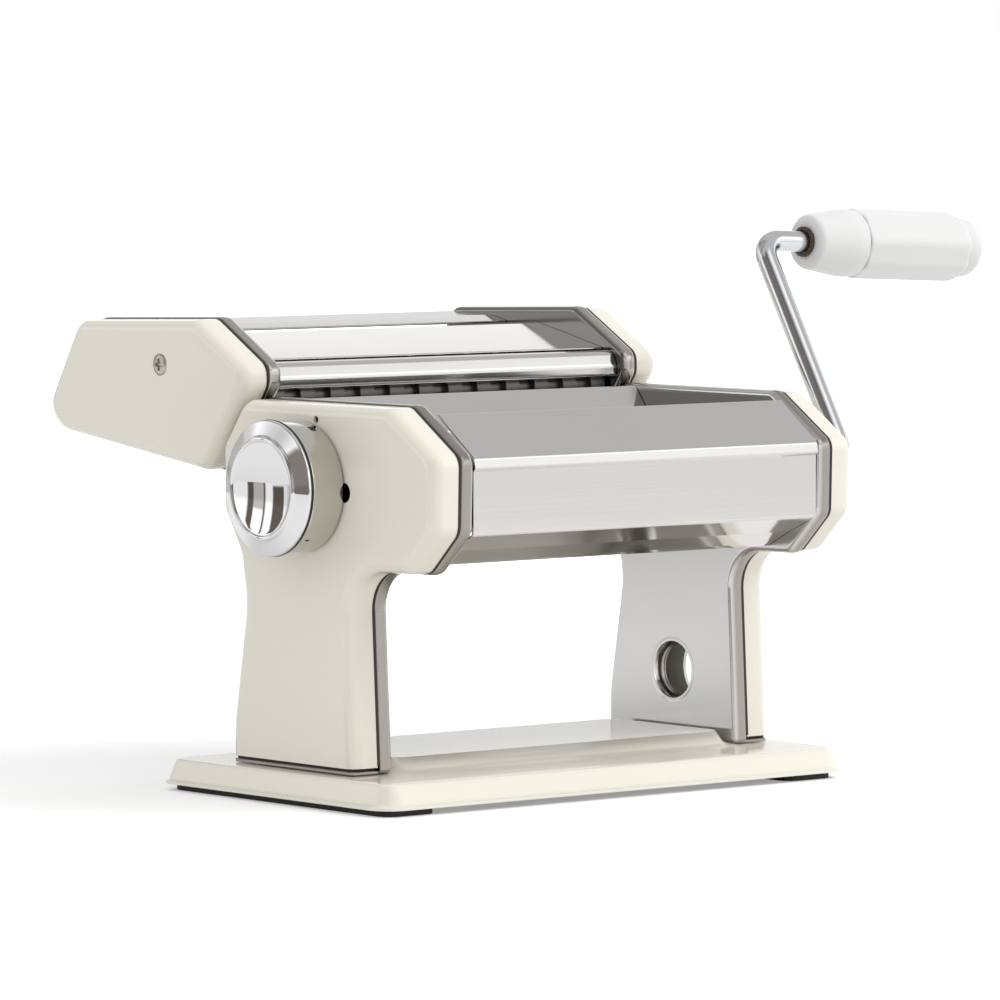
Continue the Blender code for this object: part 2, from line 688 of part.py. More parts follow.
# The left rear bush carries a stud that rides on the knob's cam.
STUD_Y = CAM_LOW + GAP + STUD_R
turned("rear_bush_left", bush_profile(JOURNAL_R + GAP, -1), REAR_AXIS, BRASS_FINISH, 12, closed=True)
ARM_IN = BUSH_OUT + GAP
ARM_OUT = ARM_IN + SHEET
arm_loop = rounded([(-BUSH_FLANGE_R, -BUSH_FLANGE_R, 4.0), (3.0, -BUSH_FLANGE_R, 4.0),
                    (STUD_Y + STUD_R + 1.5, -3.6, 3.0), (STUD_Y + STUD_R + 1.5, 3.6, 3.0),
                    (3.0, BUSH_FLANGE_R, 4.0), (-BUSH_FLANGE_R, BUSH_FLANGE_R, 4.0)], 3)
stud_hole = [(y + STUD_Y, z) for y, z in circle_loop(STUD_R - 0.6, 10)]
flat("carriage_arm", [arm_loop, circle_loop(JOURNAL_R + GAP), stud_hole], -ARM_OUT, -ARM_IN, BRUSHED_FINISH,
     REAR_AXIS)
turned("carriage_stud", [(0.0, -ARM_IN - GAP), (STUD_R - 0.6 - GAP, -ARM_IN - GAP),
                         (STUD_R - 0.6 - GAP, -ARM_OUT - GAP), (STUD_R, -ARM_OUT - GAP), (STUD_R, -CAM_OUT),
                         (0.0, -CAM_OUT)],
       (REAR_AXIS[0] + STUD_Y, REAR_AXIS[1]), ZINC_FINISH, 12)


# Cam, shaft and index plate of the setting knob.
def cam_loop(low, rise, steps=40):
    """A spiral that grows by the carriage's travel over three quarters of a turn, then falls back."""
    points = []
    for k in range(steps):
        angle = 360.0 * k / steps
        grown = angle / 270.0 if angle <= 270.0 else (360.0 - angle) / 90.0
        turn = math.radians(-angle)
        radius = low + rise * grown
        points.append((radius * math.cos(turn), radius * math.sin(turn)))
    return points


flat("regulator_cam", [cam_loop(CAM_LOW, REAR_TRAVEL), circle_loop(SHAFT_R + GAP)], -CAM_OUT, -CAM_IN,
     BRASS_FINISH, REAR_AXIS)
shaft_out = -(SKIRT_OUT - 1.0)
turned("regulator_shaft", [(0.0, -CAM_IN), (SHAFT_R, -CAM_IN), (SHAFT_R, -CAM_OUT - GAP),
                           (SHAFT_R + 2.0, -CAM_OUT - GAP), (SHAFT_R + 2.0, -CAM_OUT - 2.0),
                           (SHAFT_R, -CAM_OUT - 2.0), (SHAFT_R, shaft_out + 0.5),
                           (SHAFT_R - 0.5, shaft_out), (0.0, shaft_out)],
       REAR_AXIS, ZINC_FINISH, FINE_STEPS)
index_loops = [circle_loop(INDEX_RING + 3.6, 32), circle_loop(SHAFT_R + 2 + GAP, FINE_STEPS)]
for k in range(10):
    turn = math.radians(-30.0 * k)
    index_loops.append([(INDEX_RING * math.sin(turn) + y, INDEX_RING * math.cos(turn) + z)
                        for y, z in circle_loop(INDEX_HOLE_R, 8)])
flat("index_plate", index_loops, -COVER_OUT, -COVER_OUT + 1.5, BRUSHED_FINISH, REAR_AXIS)

# Knob: skirt, dished face and the index pin.
skirt = [(SKIRT_R - 1.4, -SKIRT_IN), (SKIRT_R - 0.4, -SKIRT_IN), (SKIRT_R, -SKIRT_IN - 0.4),
         (SKIRT_R + 0.2, -SKIRT_IN - 6.0), (SKIRT_R + 0.5, -SKIRT_OUT + 0.5), (SKIRT_R + 0.2, -SKIRT_OUT),
         (KNOB_BORE, -SKIRT_OUT), (KNOB_BORE, -SKIRT_OUT + 8.0), (KNOB_BORE + 2.0, -SKIRT_OUT + 8.0),
         (KNOB_BORE + 2.0, -SKIRT_OUT + 1.5), (SKIRT_R - 1.4, -SKIRT_OUT + 1.5)]
turned("knob_skirt", skirt, REAR_AXIS, CHROME_FINISH, 32, closed=True)
face = [(0.0, -SKIRT_OUT - GAP), (KNOB_R - 0.3, -SKIRT_OUT - GAP), (KNOB_R, -SKIRT_OUT - 0.7),
        (KNOB_R - 0.2, -SKIRT_OUT - 1.5), (KNOB_R - 1.0, -SKIRT_OUT - 1.9), (DISH_R + 0.9, -KNOB_FACE + 0.4),
        (DISH_R + 0.3, -KNOB_FACE), (DISH_R - 0.4, -KNOB_FACE + 0.3), (DISH_R * 0.7, -KNOB_FACE + 1.5),
        (DISH_R * 0.35, -KNOB_FACE + 2.1), (0.0, -KNOB_FACE + 2.3)]
turned("knob_face", face, REAR_AXIS, CHROME_FINISH, 32)
pin_spot = (REAR_AXIS[0], REAR_AXIS[1] + INDEX_RING)
turned("index_pin", [(0.0, -COVER_OUT - GAP), (1.0, -COVER_OUT - GAP - 0.3), (1.2, -COVER_OUT - GAP - 0.7),
                     (1.2, -SKIRT_OUT + 1.5 + GAP), (0.0, -SKIRT_OUT + 1.5 + GAP)],
       pin_spot, ZINC_FINISH, 10)

# Crank.
lean = math.radians(SPINDLE_LEAN)
arm = Vector((0.0, ARM_TOP[0] - FRONT_AXIS[0], ARM_TOP[1] - FRONT_AXIS[1])).normalized()
grip_way = (Vector((1.0, 0.0, 0.0)) * math.cos(lean) - arm * math.sin(lean)).normalized()
arm_top = Vector((ARM_X, ARM_TOP[0], ARM_TOP[1]))
grip_end = GRIP_START + NOSE_LONG + BARREL_LONG
crank_points = [(SHAFT_OUT - SOCKET_DEPTH + GAP, FRONT_AXIS[0], FRONT_AXIS[1]),
                (ARM_X, FRONT_AXIS[0], FRONT_AXIS[1]), tuple(arm_top), tuple(arm_top + grip_way * grip_end)]
tube("crank_rod", bent_path(crank_points, ROD_BEND), ROD_R, ZINC_FINISH, (0.0, FRONT_AXIS[0], FRONT_AXIS[1]))


def on_grip(name, profile, finish, steps, closed=False):
    """A turned piece about the crank's upper rod; profile x is the distance from the arm."""
    thing = turned(name, profile, (0.0, 0.0), finish, steps, closed)
    thing.rotation_euler = Vector((0.0, 0.0, 1.0)).rotation_difference(grip_way).to_euler()
    thing.location = arm_top * MM
    return thing


bore = ROD_R + GAP
on_grip("grip_washer", [(ROD_R + 1.6, GRIP_START - GAP), (ROD_R + 1.6, GRIP_START - GAP - 1.0),
                        (ROD_R + GAP, GRIP_START - GAP - 1.0), (ROD_R + GAP, GRIP_START - GAP)], ZINC_FINISH,
        16, closed=True)
nose_end = GRIP_START + NOSE_LONG
on_grip("grip_nose", [(bore, nose_end), (GRIP_R - 0.3, nose_end), (GRIP_R, nose_end - 0.8),
                      (GRIP_R, nose_end - 3.5), (NOSE_R + 0.9, GRIP_START + 2.6),
                      (NOSE_R - 0.3, GRIP_START + 0.7), (NOSE_R - 1.6, GRIP_START),
                      (bore + 0.6, GRIP_START), (bore, GRIP_START + 0.8)],
        WHITE_FINISH, 32, closed=True)
barrel_end = nose_end + GAP + BARREL_LONG
across = GRIP_R * 0.985
corner_out = across / math.cos(math.pi / 8)
corner_turns = [math.radians(GRIP_TURN + 22.5 + 45.0 * k) for k in range(8)]
octagon = rounded([(corner_out * math.cos(turn), corner_out * math.sin(turn), 6.0) for turn in corner_turns],
                  3)


def spun_ring(scale, along, points):
    return [(y * scale, z * scale, along) for y, z in points]


barrel_rings = [spun_ring(0.97, nose_end + GAP, octagon), spun_ring(1.0, nose_end + GAP + 0.8, octagon),
                spun_ring(0.985, barrel_end - 1.8, octagon), spun_ring(0.91, barrel_end, octagon)]
barrel = loft("grip_barrel", barrel_rings, WHITE_FINISH)
barrel.rotation_euler = Vector((0.0, 0.0, 1.0)).rotation_difference(grip_way).to_euler()
barrel.location = arm_top * MM
rod_hole = turned("cut_grip_bore", [(0.0, grip_end + GAP), (bore, grip_end + GAP), (bore, nose_end - 5.0),
                                    (0.0, nose_end - 5.0)], (0.0, 0.0), None, 16, group=CUTTERS)
rod_hole.rotation_euler = barrel.rotation_euler
rod_hole.location = barrel.location
cut(barrel, rod_hole)
cap_start = barrel_end + GAP
on_grip("grip_cap", [(0.0, cap_start + CAP_LONG), (CAP_R - 4.5, cap_start + CAP_LONG),
                     (CAP_R - 1.9, cap_start + CAP_LONG - 0.9), (CAP_R - 0.5, cap_start + CAP_LONG - 2.7),
                     (CAP_R, cap_start + CAP_LONG - 5.0), (CAP_R, cap_start), (0.0, cap_start)],
        WHITE_FINISH, 32)

# Cutter unit.
cutter_outline = rounded(CUT)
for side, end in ((-1, "left"), (1, "right")):
    frame = pan("cutter_frame_" + end, cutter_outline, side * PLATE_IN, side * RIM_OUT, BEND, 2,
                STEEL_FINISH)
    cover = pan("cutter_cover_" + end, cutter_outline, side * COVER_OUT, side * COVER_IN, COVER_BORDER, 2,
                ENAMEL_FINISH)
    for k, axis in enumerate((WIDE_FRONT, WIDE_BACK, NARROW_FRONT, NARROW_BACK)):
        cut(frame, drill("cut_axle_%s_%d" % (end, k), CUT_JOURNAL_R + GAP, side * (PLATE_IN - 2),
                         side * (PLATE_OUT + 2), axis, 16))
    cut(cover, drill("cut_screw_" + end, SCREW_R + GAP, side * (COVER_OUT - 0.7), side * (COVER_OUT + 3),
                     SCREW, 20))
    cut(cover, drill("cut_screw_shank_" + end, 1.5 + GAP, side * (COVER_OUT - 4), side * (COVER_OUT + 3),
                     SCREW, 10))
    face_x = side * (COVER_OUT - 0.7 + GAP)
    screw = [(0.0, face_x + side * 1.0), (1.4, face_x + side * 1.0), (2.8, face_x + side * 0.5),
             (SCREW_R, face_x), (1.5, face_x), (1.5, face_x - side * 6.0), (0.0, face_x - side * 6.0)]
    if side < 0:
        screw.reverse()
    head = turned("cutter_screw_" + end, screw, SCREW, ZINC_FINISH, 20)
    for k, (a, b) in enumerate((((-1.9, 0.0), (1.9, 0.0)), ((0.0, -1.9), (0.0, 1.9)))):
        start = (SCREW[0] + a[0], SCREW[1] + a[1])
        stop = (SCREW[0] + b[0], SCREW[1] + b[1])
        cut(head, slot("cut_cross_%s_%d" % (end, k), start, stop, 0.35, face_x + side * 0.2,
                       face_x + side * 3.0))
    if side > 0:
        for k, axis in enumerate((WIDE_FRONT, NARROW_FRONT)):
            cut(cover, drill("cut_drive_%d" % k, 5.0, COVER_OUT - 4, COVER_OUT + 4, axis, 20))

CUT_SHEET_X = PLATE_IN - GAP
sheet("cutter_back_sheet", CUT_BACK_SHEET, CUT_SHEET_X, STEEL_FINISH, THIN, 1.5, 0.0)
sheet("cutter_centre_sheet", CUT_CENTRE_SHEET, CUT_SHEET_X, STEEL_FINISH, THIN, 1.2, 0.0)
flat("cutter_front_bar", [rounded(CUT_FRONT_BAR, 3)], -CUT_SHEET_X, CUT_SHEET_X, STEEL_FINISH)
tie_rod("cutter_tie_rod", CUT_TIE)


def cutter_profile(noodle, raised_first, right_end, socket):
    """Ridges and grooves of one noodle width, with journals at both ends."""
    profile = [(0.0, right_end)]
    journal = CUT_JOURNAL_R
    if socket:
        profile = [(0.0, right_end - 7.0), (2.2, right_end - 7.0), (2.2, right_end)]
    profile.extend([(journal, right_end), (journal, ROLLER_END)])
    count = int(2 * ROLLER_END / noodle)
    edge = noodle * count / 2
    raised = raised_first
    if edge < ROLLER_END:
        profile.append((CUT_GROOVE, ROLLER_END))
    else:
        profile.append((CUT_RIDGE if raised else CUT_GROOVE, ROLLER_END))
    for k in range(count):
        high = edge - noodle * k
        low = high - noodle
        if raised:
            profile.extend([(CUT_RIDGE, high - CUT_SIDE / 2), (CUT_RIDGE, low + CUT_SIDE / 2)])
        else:
            profile.extend([(CUT_GROOVE, high + CUT_SIDE / 2), (CUT_GROOVE, low - CUT_SIDE / 2)])
        raised = not raised
    clean = []
    for radius, x in profile:
        x = max(-ROLLER_END, x) if x < ROLLER_END else x
        clean.append((radius, x))
    clean.extend([(CUT_GROOVE, -ROLLER_END), (journal, -ROLLER_END), (journal, -PLATE_OUT - 1.4),
                  (0.0, -PLATE_OUT - 1.4)])
    tidy = [clean[0]]
    for point in clean[1:]:
        same_x = abs(point[1] - tidy[-1][1]) < 1e-6
        if same_x and abs(point[0] - tidy[-1][0]) < 1e-6:
            continue
        tidy.append(point)
    return tidy


cutters = (("wide_cutter_front", WIDE_FRONT, WIDE_NOODLE, True, True),
           ("wide_cutter_back", WIDE_BACK, WIDE_NOODLE, False, False),
           ("narrow_cutter_front", NARROW_FRONT, NARROW_NOODLE, True, True),
           ("narrow_cutter_back", NARROW_BACK, NARROW_NOODLE, False, False))
for name, axis, noodle, raised, driven in cutters:
    end_x = CUT_SHAFT_END if driven else CUT_GEAR_OUT + 0.6
    turned(name, cutter_profile(noodle, raised, end_x, driven), axis, STEEL_FINISH, 10)
for name, axis, turn in (("wide_gear_front", WIDE_FRONT, 0.0), ("wide_gear_back", WIDE_BACK, 15.0),
                         ("narrow_gear_front", NARROW_FRONT, 0.0), ("narrow_gear_back", NARROW_BACK, 15.0)):
    loop = gear_loop(GEAR_TEETH, CUT_GEAR_ROOT, CUT_PITCH, CUT_GEAR_TIP, CUT_GEAR_TOOTH, math.radians(turn))
    flat(name, [loop, circle_loop(CUT_JOURNAL_R + GAP, 12)], CUT_GEAR_IN, CUT_GEAR_OUT, BRUSHED_FINISH, axis)


def comb(name, axis):
    """A folded strip that lies under a cutter pair and strips the noodles off it."""
    level = axis[1] - CUT_RIDGE - SCRAPER_DROP
    sheet(name, [(axis[0] + COMB_BACK, level - COMB_DROP), (axis[0] + COMB_BACK, level),
                 (axis[0] - COMB_REACH, level)], CUT_SHEET_X, BRUSHED_FINISH, SCRAPER, THIN, 0.0)


comb("cutter_comb_wide", WIDE_BACK)
comb("cutter_comb_narrow", NARROW_BACK)

# Move everything so that the origin lies under the middle of the part's box.
bpy.context.view_layer.update()
low = Vector((1e9, 1e9, 1e9))
high = -low
graph = bpy.context.evaluated_depsgraph_get()
triangles = 0
for thing in PART.objects:
    solid = thing.evaluated_get(graph).to_mesh()
    solid.calc_loop_triangles()
    triangles += len(solid.loop_triangles)
    for vertex in solid.vertices:
        spot = thing.matrix_world @ vertex.co
        for k in range(3):
            low[k] = min(low[k], spot[k])
            high[k] = max(high[k], spot[k])
shift = Vector((-round((low.x + high.x) / 2, 4), -round((low.y + high.y) / 2, 4), 0.0))
for thing in list(PART.objects) + list(CUTTERS.objects):
    thing.location = thing.location + shift
bpy.context.view_layer.update()
print("triangles", triangles, "pieces", len(PART.objects))
print("box in mm before the move", [round(v / MM, 3) for v in (*low, *high)])
print("shift in mm", [round(v / MM, 4) for v in shift])
for label, spot in (("front axis", FRONT_AXIS), ("rear axis", REAR_AXIS), ("wide front", WIDE_FRONT),
                    ("wide back", WIDE_BACK), ("narrow front", NARROW_FRONT), ("narrow back", NARROW_BACK)):
    print(label, round(spot[0] + shift.y / MM, 4), round(spot[1], 4))
print("grip axis through", [round(v, 4) for v in (arm_top + shift / MM)])
print("grip axis along", [round(v, 6) for v in grip_way])
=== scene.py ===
"""Looks of the hand-cranked pasta maker: finer skins over the solids, finishes, light and camera.

Sizes are millimetres in the machine's own layout, with the middle of the base at x = y = 0; to_frame()
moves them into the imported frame, in metres. Every new piece is a surface worked out with numpy, from a
function of two parameters or from a section carried along a path.
"""
import math

import bmesh
import bpy
import numpy as np
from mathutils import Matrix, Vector


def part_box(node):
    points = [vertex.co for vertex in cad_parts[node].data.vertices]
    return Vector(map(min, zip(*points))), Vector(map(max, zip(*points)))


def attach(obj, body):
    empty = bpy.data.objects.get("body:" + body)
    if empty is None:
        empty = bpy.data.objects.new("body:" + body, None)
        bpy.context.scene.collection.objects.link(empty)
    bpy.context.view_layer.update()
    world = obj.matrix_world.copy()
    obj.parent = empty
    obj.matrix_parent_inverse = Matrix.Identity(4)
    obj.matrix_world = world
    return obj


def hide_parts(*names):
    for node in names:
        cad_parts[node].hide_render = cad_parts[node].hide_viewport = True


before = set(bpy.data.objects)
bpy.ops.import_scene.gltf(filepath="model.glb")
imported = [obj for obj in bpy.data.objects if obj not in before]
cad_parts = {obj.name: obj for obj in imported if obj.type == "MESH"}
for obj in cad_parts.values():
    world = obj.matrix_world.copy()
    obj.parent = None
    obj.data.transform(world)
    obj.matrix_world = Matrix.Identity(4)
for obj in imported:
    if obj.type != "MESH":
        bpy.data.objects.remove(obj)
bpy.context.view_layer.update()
MM = 0.001
base_low, base_high = (np.array(corner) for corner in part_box("base_plate"))
SHIFT = (base_low + base_high) / 2 / MM * np.array([1.0, 1.0, 0.0])

# Sizes, as the solids are made to, but for the clamp hole in the cover, which is the photograph's.
SIDES = ((-1, "left"), (1, "right"))
GAP = 0.3
SHEET, THIN = 1.2, 0.8
SHAFT_PAST = 0.6
PLATE_IN, RIM_OUT = 76.0, 81.5
PLATE_OUT = PLATE_IN + SHEET
COVER_IN, COVER_OUT, COVER_BORDER = 82.1, 93.1, 4.6
FOOT_OUT, FOOT_Z, COVER_Z = 92.5, 11.1, 13.3
FOOT_FRONT, FOOT_BACK = -31.7, 32.9
HALF_INSIDE = PLATE_IN - GAP
FRONT_AXIS = (-39.5, 109.0)
REAR_AXIS = (-7.2, 106.0)
REAR_STOP = (REAR_AXIS[0] + 4.2, REAR_AXIS[1])
CLAMP = (0.0, 34.9)
HEAD_BACK_LOW = (39.8, 118.5)
HEAD = [(28.0, 134.3, 5.6), (-50.9, 134.4, 5.6), (-75.8, 118.1, 5.6), (-75.2, 92.9, 6.0),
        (-60.5, 78.7, 5.6), (-29.7, 78.3, 13.0)]
LEG_FRONT_TOP, LEG_FRONT_FOOT = (-30.0, 65.0), (-33.3, 10.8)
LEG_BACK_Y = 34.4
LEG_BACK = [(LEG_BACK_Y, 25.4, 30.0), (27.8, 64.8, 30.0), (30.6, 80.8, 8.0), (HEAD_BACK_LOW[0], 96.0, 5.6),
            (*HEAD_BACK_LOW, 5.6)]
ROLLER_R, ROLLER_END = 15.9, 75.0
JOURNAL_R, CRANK_JOURNAL_R = 5.0, 5.8
BUSH_R, BUSH_FLANGE_R = 7.0, 9.0
BUSH_OUT = PLATE_OUT + GAP + 1.5
CRANK_SHAFT_OUT, GEAR_OUT = 91.0, 87.4
SOCKET_R, SOCKET_DEPTH = 4.2, 17.0
SHAFT_R = 4.0
SKIRT_IN, SKIRT_OUT, SKIRT_R = COVER_OUT + 0.8, 107.4, 22.0
KNOB_R, KNOB_FACE, DISH_R = SKIRT_R + 0.8, 112.0, 16.2
KNOB_BORE = SHAFT_R + GAP
MARK_R = SKIRT_R * 1.06
MARK_HOLES = ((MARK_R, 15.0, 1.3), (MARK_R - 2.4, 93.0, 3.4))
ARM_X, ROD_R, ROD_BEND = 121.0, 3.8, 8.0
ARM_TOP = (4.9, 184.1)
SPINDLE_LEAN = 3.0
GRIP_START, NOSE_LONG, BARREL_LONG, CAP_LONG = 21.0, 21.0, 48.5, 8.2
NOSE_R, GRIP_R, CAP_R = 9.0, 12.1, 10.75
GRIP_TURN = 15.5
WIDE_FRONT = (43.8, 133.2)
CUT_CORNERS = [(78.0, 25.3, 5.6), (9.8, 27.3, 6.5), (-17.6, 11.6, 5.6), (-17.6, 4.3, 5.6),
               (4.8, -25.5, 5.6), (88.3, -14.6, 9.0), (97.0, -6.3, 6.0)]
CUT_PITCH, CUT_RIDGE, CUT_GROOVE, CUT_SIDE = 8.1, 9.0, 6.8, 0.2
CUT_JOURNAL_R, CUT_GEAR_OUT, CUT_SHAFT_END = 3.5, 85.0, 91.0
CUT_SHAFT_START = -PLATE_OUT - 1.4
CUT_SOCKET_R, CUT_SOCKET_DEPTH, CUT_HOLE_R = 2.2, 7.0, 5.0
WIDE_BACK = (WIDE_FRONT[0] + 2 * CUT_PITCH, WIDE_FRONT[1])
NARROW_FRONT = (WIDE_BACK[0] + 2 * CUT_RIDGE + 2.0, WIDE_FRONT[1] + 2.8)
NARROW_BACK = (NARROW_FRONT[0] + 2 * CUT_PITCH, NARROW_FRONT[1])
WIDE_NOODLE, NARROW_NOODLE = 6.5, 4.0
SCREW = (WIDE_FRONT[0] + 28.8, WIDE_FRONT[1] + 10.7)
SCREW_R, SCREW_SHANK_R, SCREW_LONG = 3.5, 1.5, 6.0
CUT_TIE = (NARROW_BACK[0] + 25.3, NARROW_BACK[1] - 2.0)
TIE_R = 3.5
TIE_LOW, TIE_HIGH = (22.0, 88.5), (25.5, 122.5)
EYELET_R = 9.1
CLAMP_HOLE_R, CRANK_HOLE_R, KNOB_HOLE_R = EYELET_R + 3.2, ROD_R + 2.4, 19.0
RAISED_TOP, BASE_TOP, BASE_LOW, BASE_WALL = 15.8, 10.8, 2.3, 1.5
BASE_X, BASE_Y, BASE_ROUND, BASE_SLOPE = 103.3, 62.3, 9.0, 3.4
BASE_DROPS = ((BASE_SLOPE + 1.6, 0.0), (BASE_SLOPE + 0.5, 0.4), (BASE_SLOPE - 0.1, 1.5), (1.5, 6.4),
              (1.0, 7.3))
RAISED_X, RAISED_FRONT, RAISED_BACK, RAISED_SLOPE, RAISED_END = 75.6, -36.0, 34.0, 6.0, 2.4
RAISED_TOP_ROUND, RAISED_ROUND = 7.0, 12.0

QUARTER = np.radians(np.linspace(0, 90, 9))
SMOOTH = 38.0
ORIGIN = (0.0, 0.0)


# Places and meshes.
def to_frame(points):
    return (np.asarray(points, float) + SHIFT) * MM


def unit(ways):
    """The same directions, each one long."""
    return ways / np.linalg.norm(ways, axis=-1, keepdims=True)


def full_turn(steps):
    return np.linspace(0, 2 * math.pi, steps, endpoint=False)


def at_x(ring, x):
    """A ring of (y, z) at one x."""
    return np.column_stack([np.full(len(ring), x), ring])


def at_z(ring, z):
    """A ring of (x, y) at one z."""
    return np.column_stack([ring, np.full(len(ring), z)])


def span(side, near, far):
    """A run of x on one side of the machine, its lower end first."""
    return sorted((side * near, side * far))


def on_side(section, side):
    """A turned section that is written for the right side, for either one."""
    return [(radius, side * x, *size) for radius, x, *size in section]


def moved(corners, axis, lift=0.0):
    """Corners that are written from an axis, brought to it and lifted."""
    return [(axis[0] + y, axis[1] + lift + z, radius) for y, z, radius in corners]


def round_knob(reach, degrees):
    """(y, z) at a reach from the knob's axis: turned from upright, towards the front where positive."""
    turn = math.radians(degrees)
    return REAR_AXIS[0] - reach * math.sin(turn), REAR_AXIS[1] + reach * math.cos(turn)


def plain_mesh(name, points, faces):
    """A merged mesh whose faces point outwards."""
    mesh = bpy.data.meshes.new(name)
    mesh.from_pydata(to_frame(points).tolist(), [], faces)
    tidy = bmesh.new()
    tidy.from_mesh(mesh)
    bmesh.ops.remove_doubles(tidy, verts=list(tidy.verts), dist=1e-7)
    bmesh.ops.recalc_face_normals(tidy, faces=list(tidy.faces))
    tidy.to_mesh(mesh)
    tidy.free()
    return mesh


def placed(name, data):
    """A new object of the scene, at the origin."""
    thing = bpy.data.objects.new(name, data)
    bpy.context.scene.collection.objects.link(thing)
    return thing


def worked_in(thing):
    """Give the object the mesh that its modifiers make, and take them off."""
    bpy.context.view_layer.update()
    graph = bpy.context.evaluated_depsgraph_get()
    thing.data = bpy.data.meshes.new_from_object(thing.evaluated_get(graph))
    thing.modifiers.clear()


def smooth_over(thing, degrees):
    """Smooth shading up to an angle, weighted by face area so that flat runs stay flat."""
    thing.data.shade_smooth()
    thing.data.set_sharp_from_angle(angle=math.radians(degrees))
    weighted = thing.modifiers.new("weighted", "WEIGHTED_NORMAL")
    weighted.keep_sharp = True
    worked_in(thing)


def piece(name, parts, finish, body, node, smooth=SMOOTH):
    """A new piece that rides on a body and stands for the solid of a node."""
    points, faces = parts
    mesh = plain_mesh(name, points, faces)
    mesh.materials.append(finish)
    thing = placed(name, mesh)
    smooth_over(thing, smooth)
    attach(thing, body)
    "mat_" + node
    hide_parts(node)
    return thing


def together(*parts):
    """Several (points, faces) pairs as one."""
    offsets = np.cumsum([0] + [len(points) for points, _ in parts])
    faces = []
    for (_, some), offset in zip(parts, offsets):
        faces.extend([[index + int(offset) for index in face] for face in some])
    return np.vstack([points for points, _ in parts]), faces


# Surfaces.
def ring_faces(rows, columns):
    """Quads between each ring of points and the next; the last column joins the first."""
    i, j = np.meshgrid(np.arange(rows - 1), np.arange(columns), indexing="ij")
    k = (j + 1) % columns
    corners = (i * columns + j, i * columns + k, (i + 1) * columns + k, (i + 1) * columns + j)
    return np.stack(corners, axis=-1).reshape(-1, 4).tolist()


def skin(rings, capped=True):
    """A surface through rings of points, rows x columns x 3; capped rings close both ends flat."""
    rings = np.asarray(rings, float)
    rows, columns = rings.shape[:2]
    faces = ring_faces(rows, columns)
    if capped:
        faces.append(list(range(columns)))
        faces.append([(rows - 1) * columns + index for index in range(columns)])
    return rings.reshape(-1, 3), faces


def corner_arc(before, here, after, radius, steps):
    """An arc tangent to both runs of a corner, flat or in space: middle + start * cos t - back * sin t."""
    back, ahead = unit(before - here), unit(after - here)
    half = math.acos(float(np.clip(back @ ahead, -1.0, 1.0))) / 2
    if radius <= 0 or half > math.radians(89):
        return np.repeat(here[None, :], steps + 1, axis=0)
    middle = here + unit(back + ahead) * radius / math.sin(half)
    start = here + back * radius / math.tan(half) - middle
    t = np.linspace(0, math.pi - 2 * half, steps + 1)[:, None]
    return middle + np.cos(t) * start - np.sin(t) * back * radius


LEAST_ROUND = 0.15


def rounded(corners, inset=0.0, steps=10, still=(), swell=0.0):
    """A closed outline of (y, z, radius): each side moved inwards by the inset, each corner an arc.

    The radius shrinks with the inset at an outer corner and grows at an inner one, so the outlines
    stay parallel; with a swell, outer corners grow rounder by swell * inset instead, as far as the two
    arcs of a side leave each other room. The sides listed in still don't move.
    """
    spots = np.array([corner[:2] for corner in corners], float)
    sizes = np.array([corner[2] for corner in corners], float)
    after = np.roll(spots, -1, axis=0)
    sign = math.copysign(1.0, float(np.sum(spots[:, 0] * after[:, 1] - after[:, 0] * spots[:, 1])))
    sides = unit(after - spots)
    inward = sign * np.stack([-sides[:, 1], sides[:, 0]], axis=1)
    shift = np.full(len(spots), float(inset))
    shift[list(still)] = 0.0
    levels = np.sum(inward * spots, axis=1) + shift
    pairs = np.stack([np.roll(inward, 1, axis=0), inward], axis=1)
    moved = np.linalg.solve(pairs, np.stack([np.roll(levels, 1), levels], axis=1)[..., None])[..., 0]
    before = np.roll(sides, 1, axis=0)
    outer = (before[:, 0] * sides[:, 1] - before[:, 1] * sides[:, 0]) * sign > 0
    radii = np.where(outer, np.maximum(sizes - inset, LEAST_ROUND) + swell * inset, sizes + inset)
    radii = np.where(sizes == 0, 0.0, radii)
    if swell:
        turned_by = np.sum(before * sides, axis=1)
        reach = radii * np.sqrt((1 - turned_by) / (1 + turned_by))
        lengths = np.linalg.norm(np.roll(moved, -1, axis=0) - moved, axis=1)
        fit = np.minimum(0.96 * lengths / np.maximum(reach + np.roll(reach, -1), 1e-9), 1.0)
        radii = radii * np.minimum(fit, np.roll(fit, 1))
    count = len(moved)
    return np.vstack([corner_arc(moved[i - 1], moved[i], moved[(i + 1) % count], radii[i], steps)
                      for i in range(count)])


def bent(corners, steps):
    """An open path of (y, z, radius) with an arc at every inner corner."""
    spots = [np.array(corner[:2], float) for corner in corners]
    runs = [spots[0][None, :]]
    runs += [corner_arc(spots[i - 1], spots[i], spots[i + 1], corners[i][2], steps)
             for i in range(1, len(spots) - 1)]
    runs.append(spots[-1][None, :])
    path = np.vstack(runs)
    apart = np.linalg.norm(np.diff(path, axis=0), axis=1) > 1e-6
    return path[np.concatenate([[True], apart])]


def ways_along(path):
    """At each point of a path the mean direction of the runs that meet there."""
    runs = unit(np.diff(path, axis=0))
    return unit(np.vstack([runs[:1], runs[:-1] + runs[1:], runs[-1:]]))


def beside(path, distance):
    """The path moved sideways: each point goes along the mean normal of the runs that meet there."""
    mean = ways_along(path)
    return path + distance * np.stack([-mean[:, 1], mean[:, 0]], axis=1)


def across(section):
    """A closed (y, z) section carried along x from one side plate to the other."""
    return skin([at_x(section, x) for x in (-HALF_INSIDE, HALF_INSIDE)])


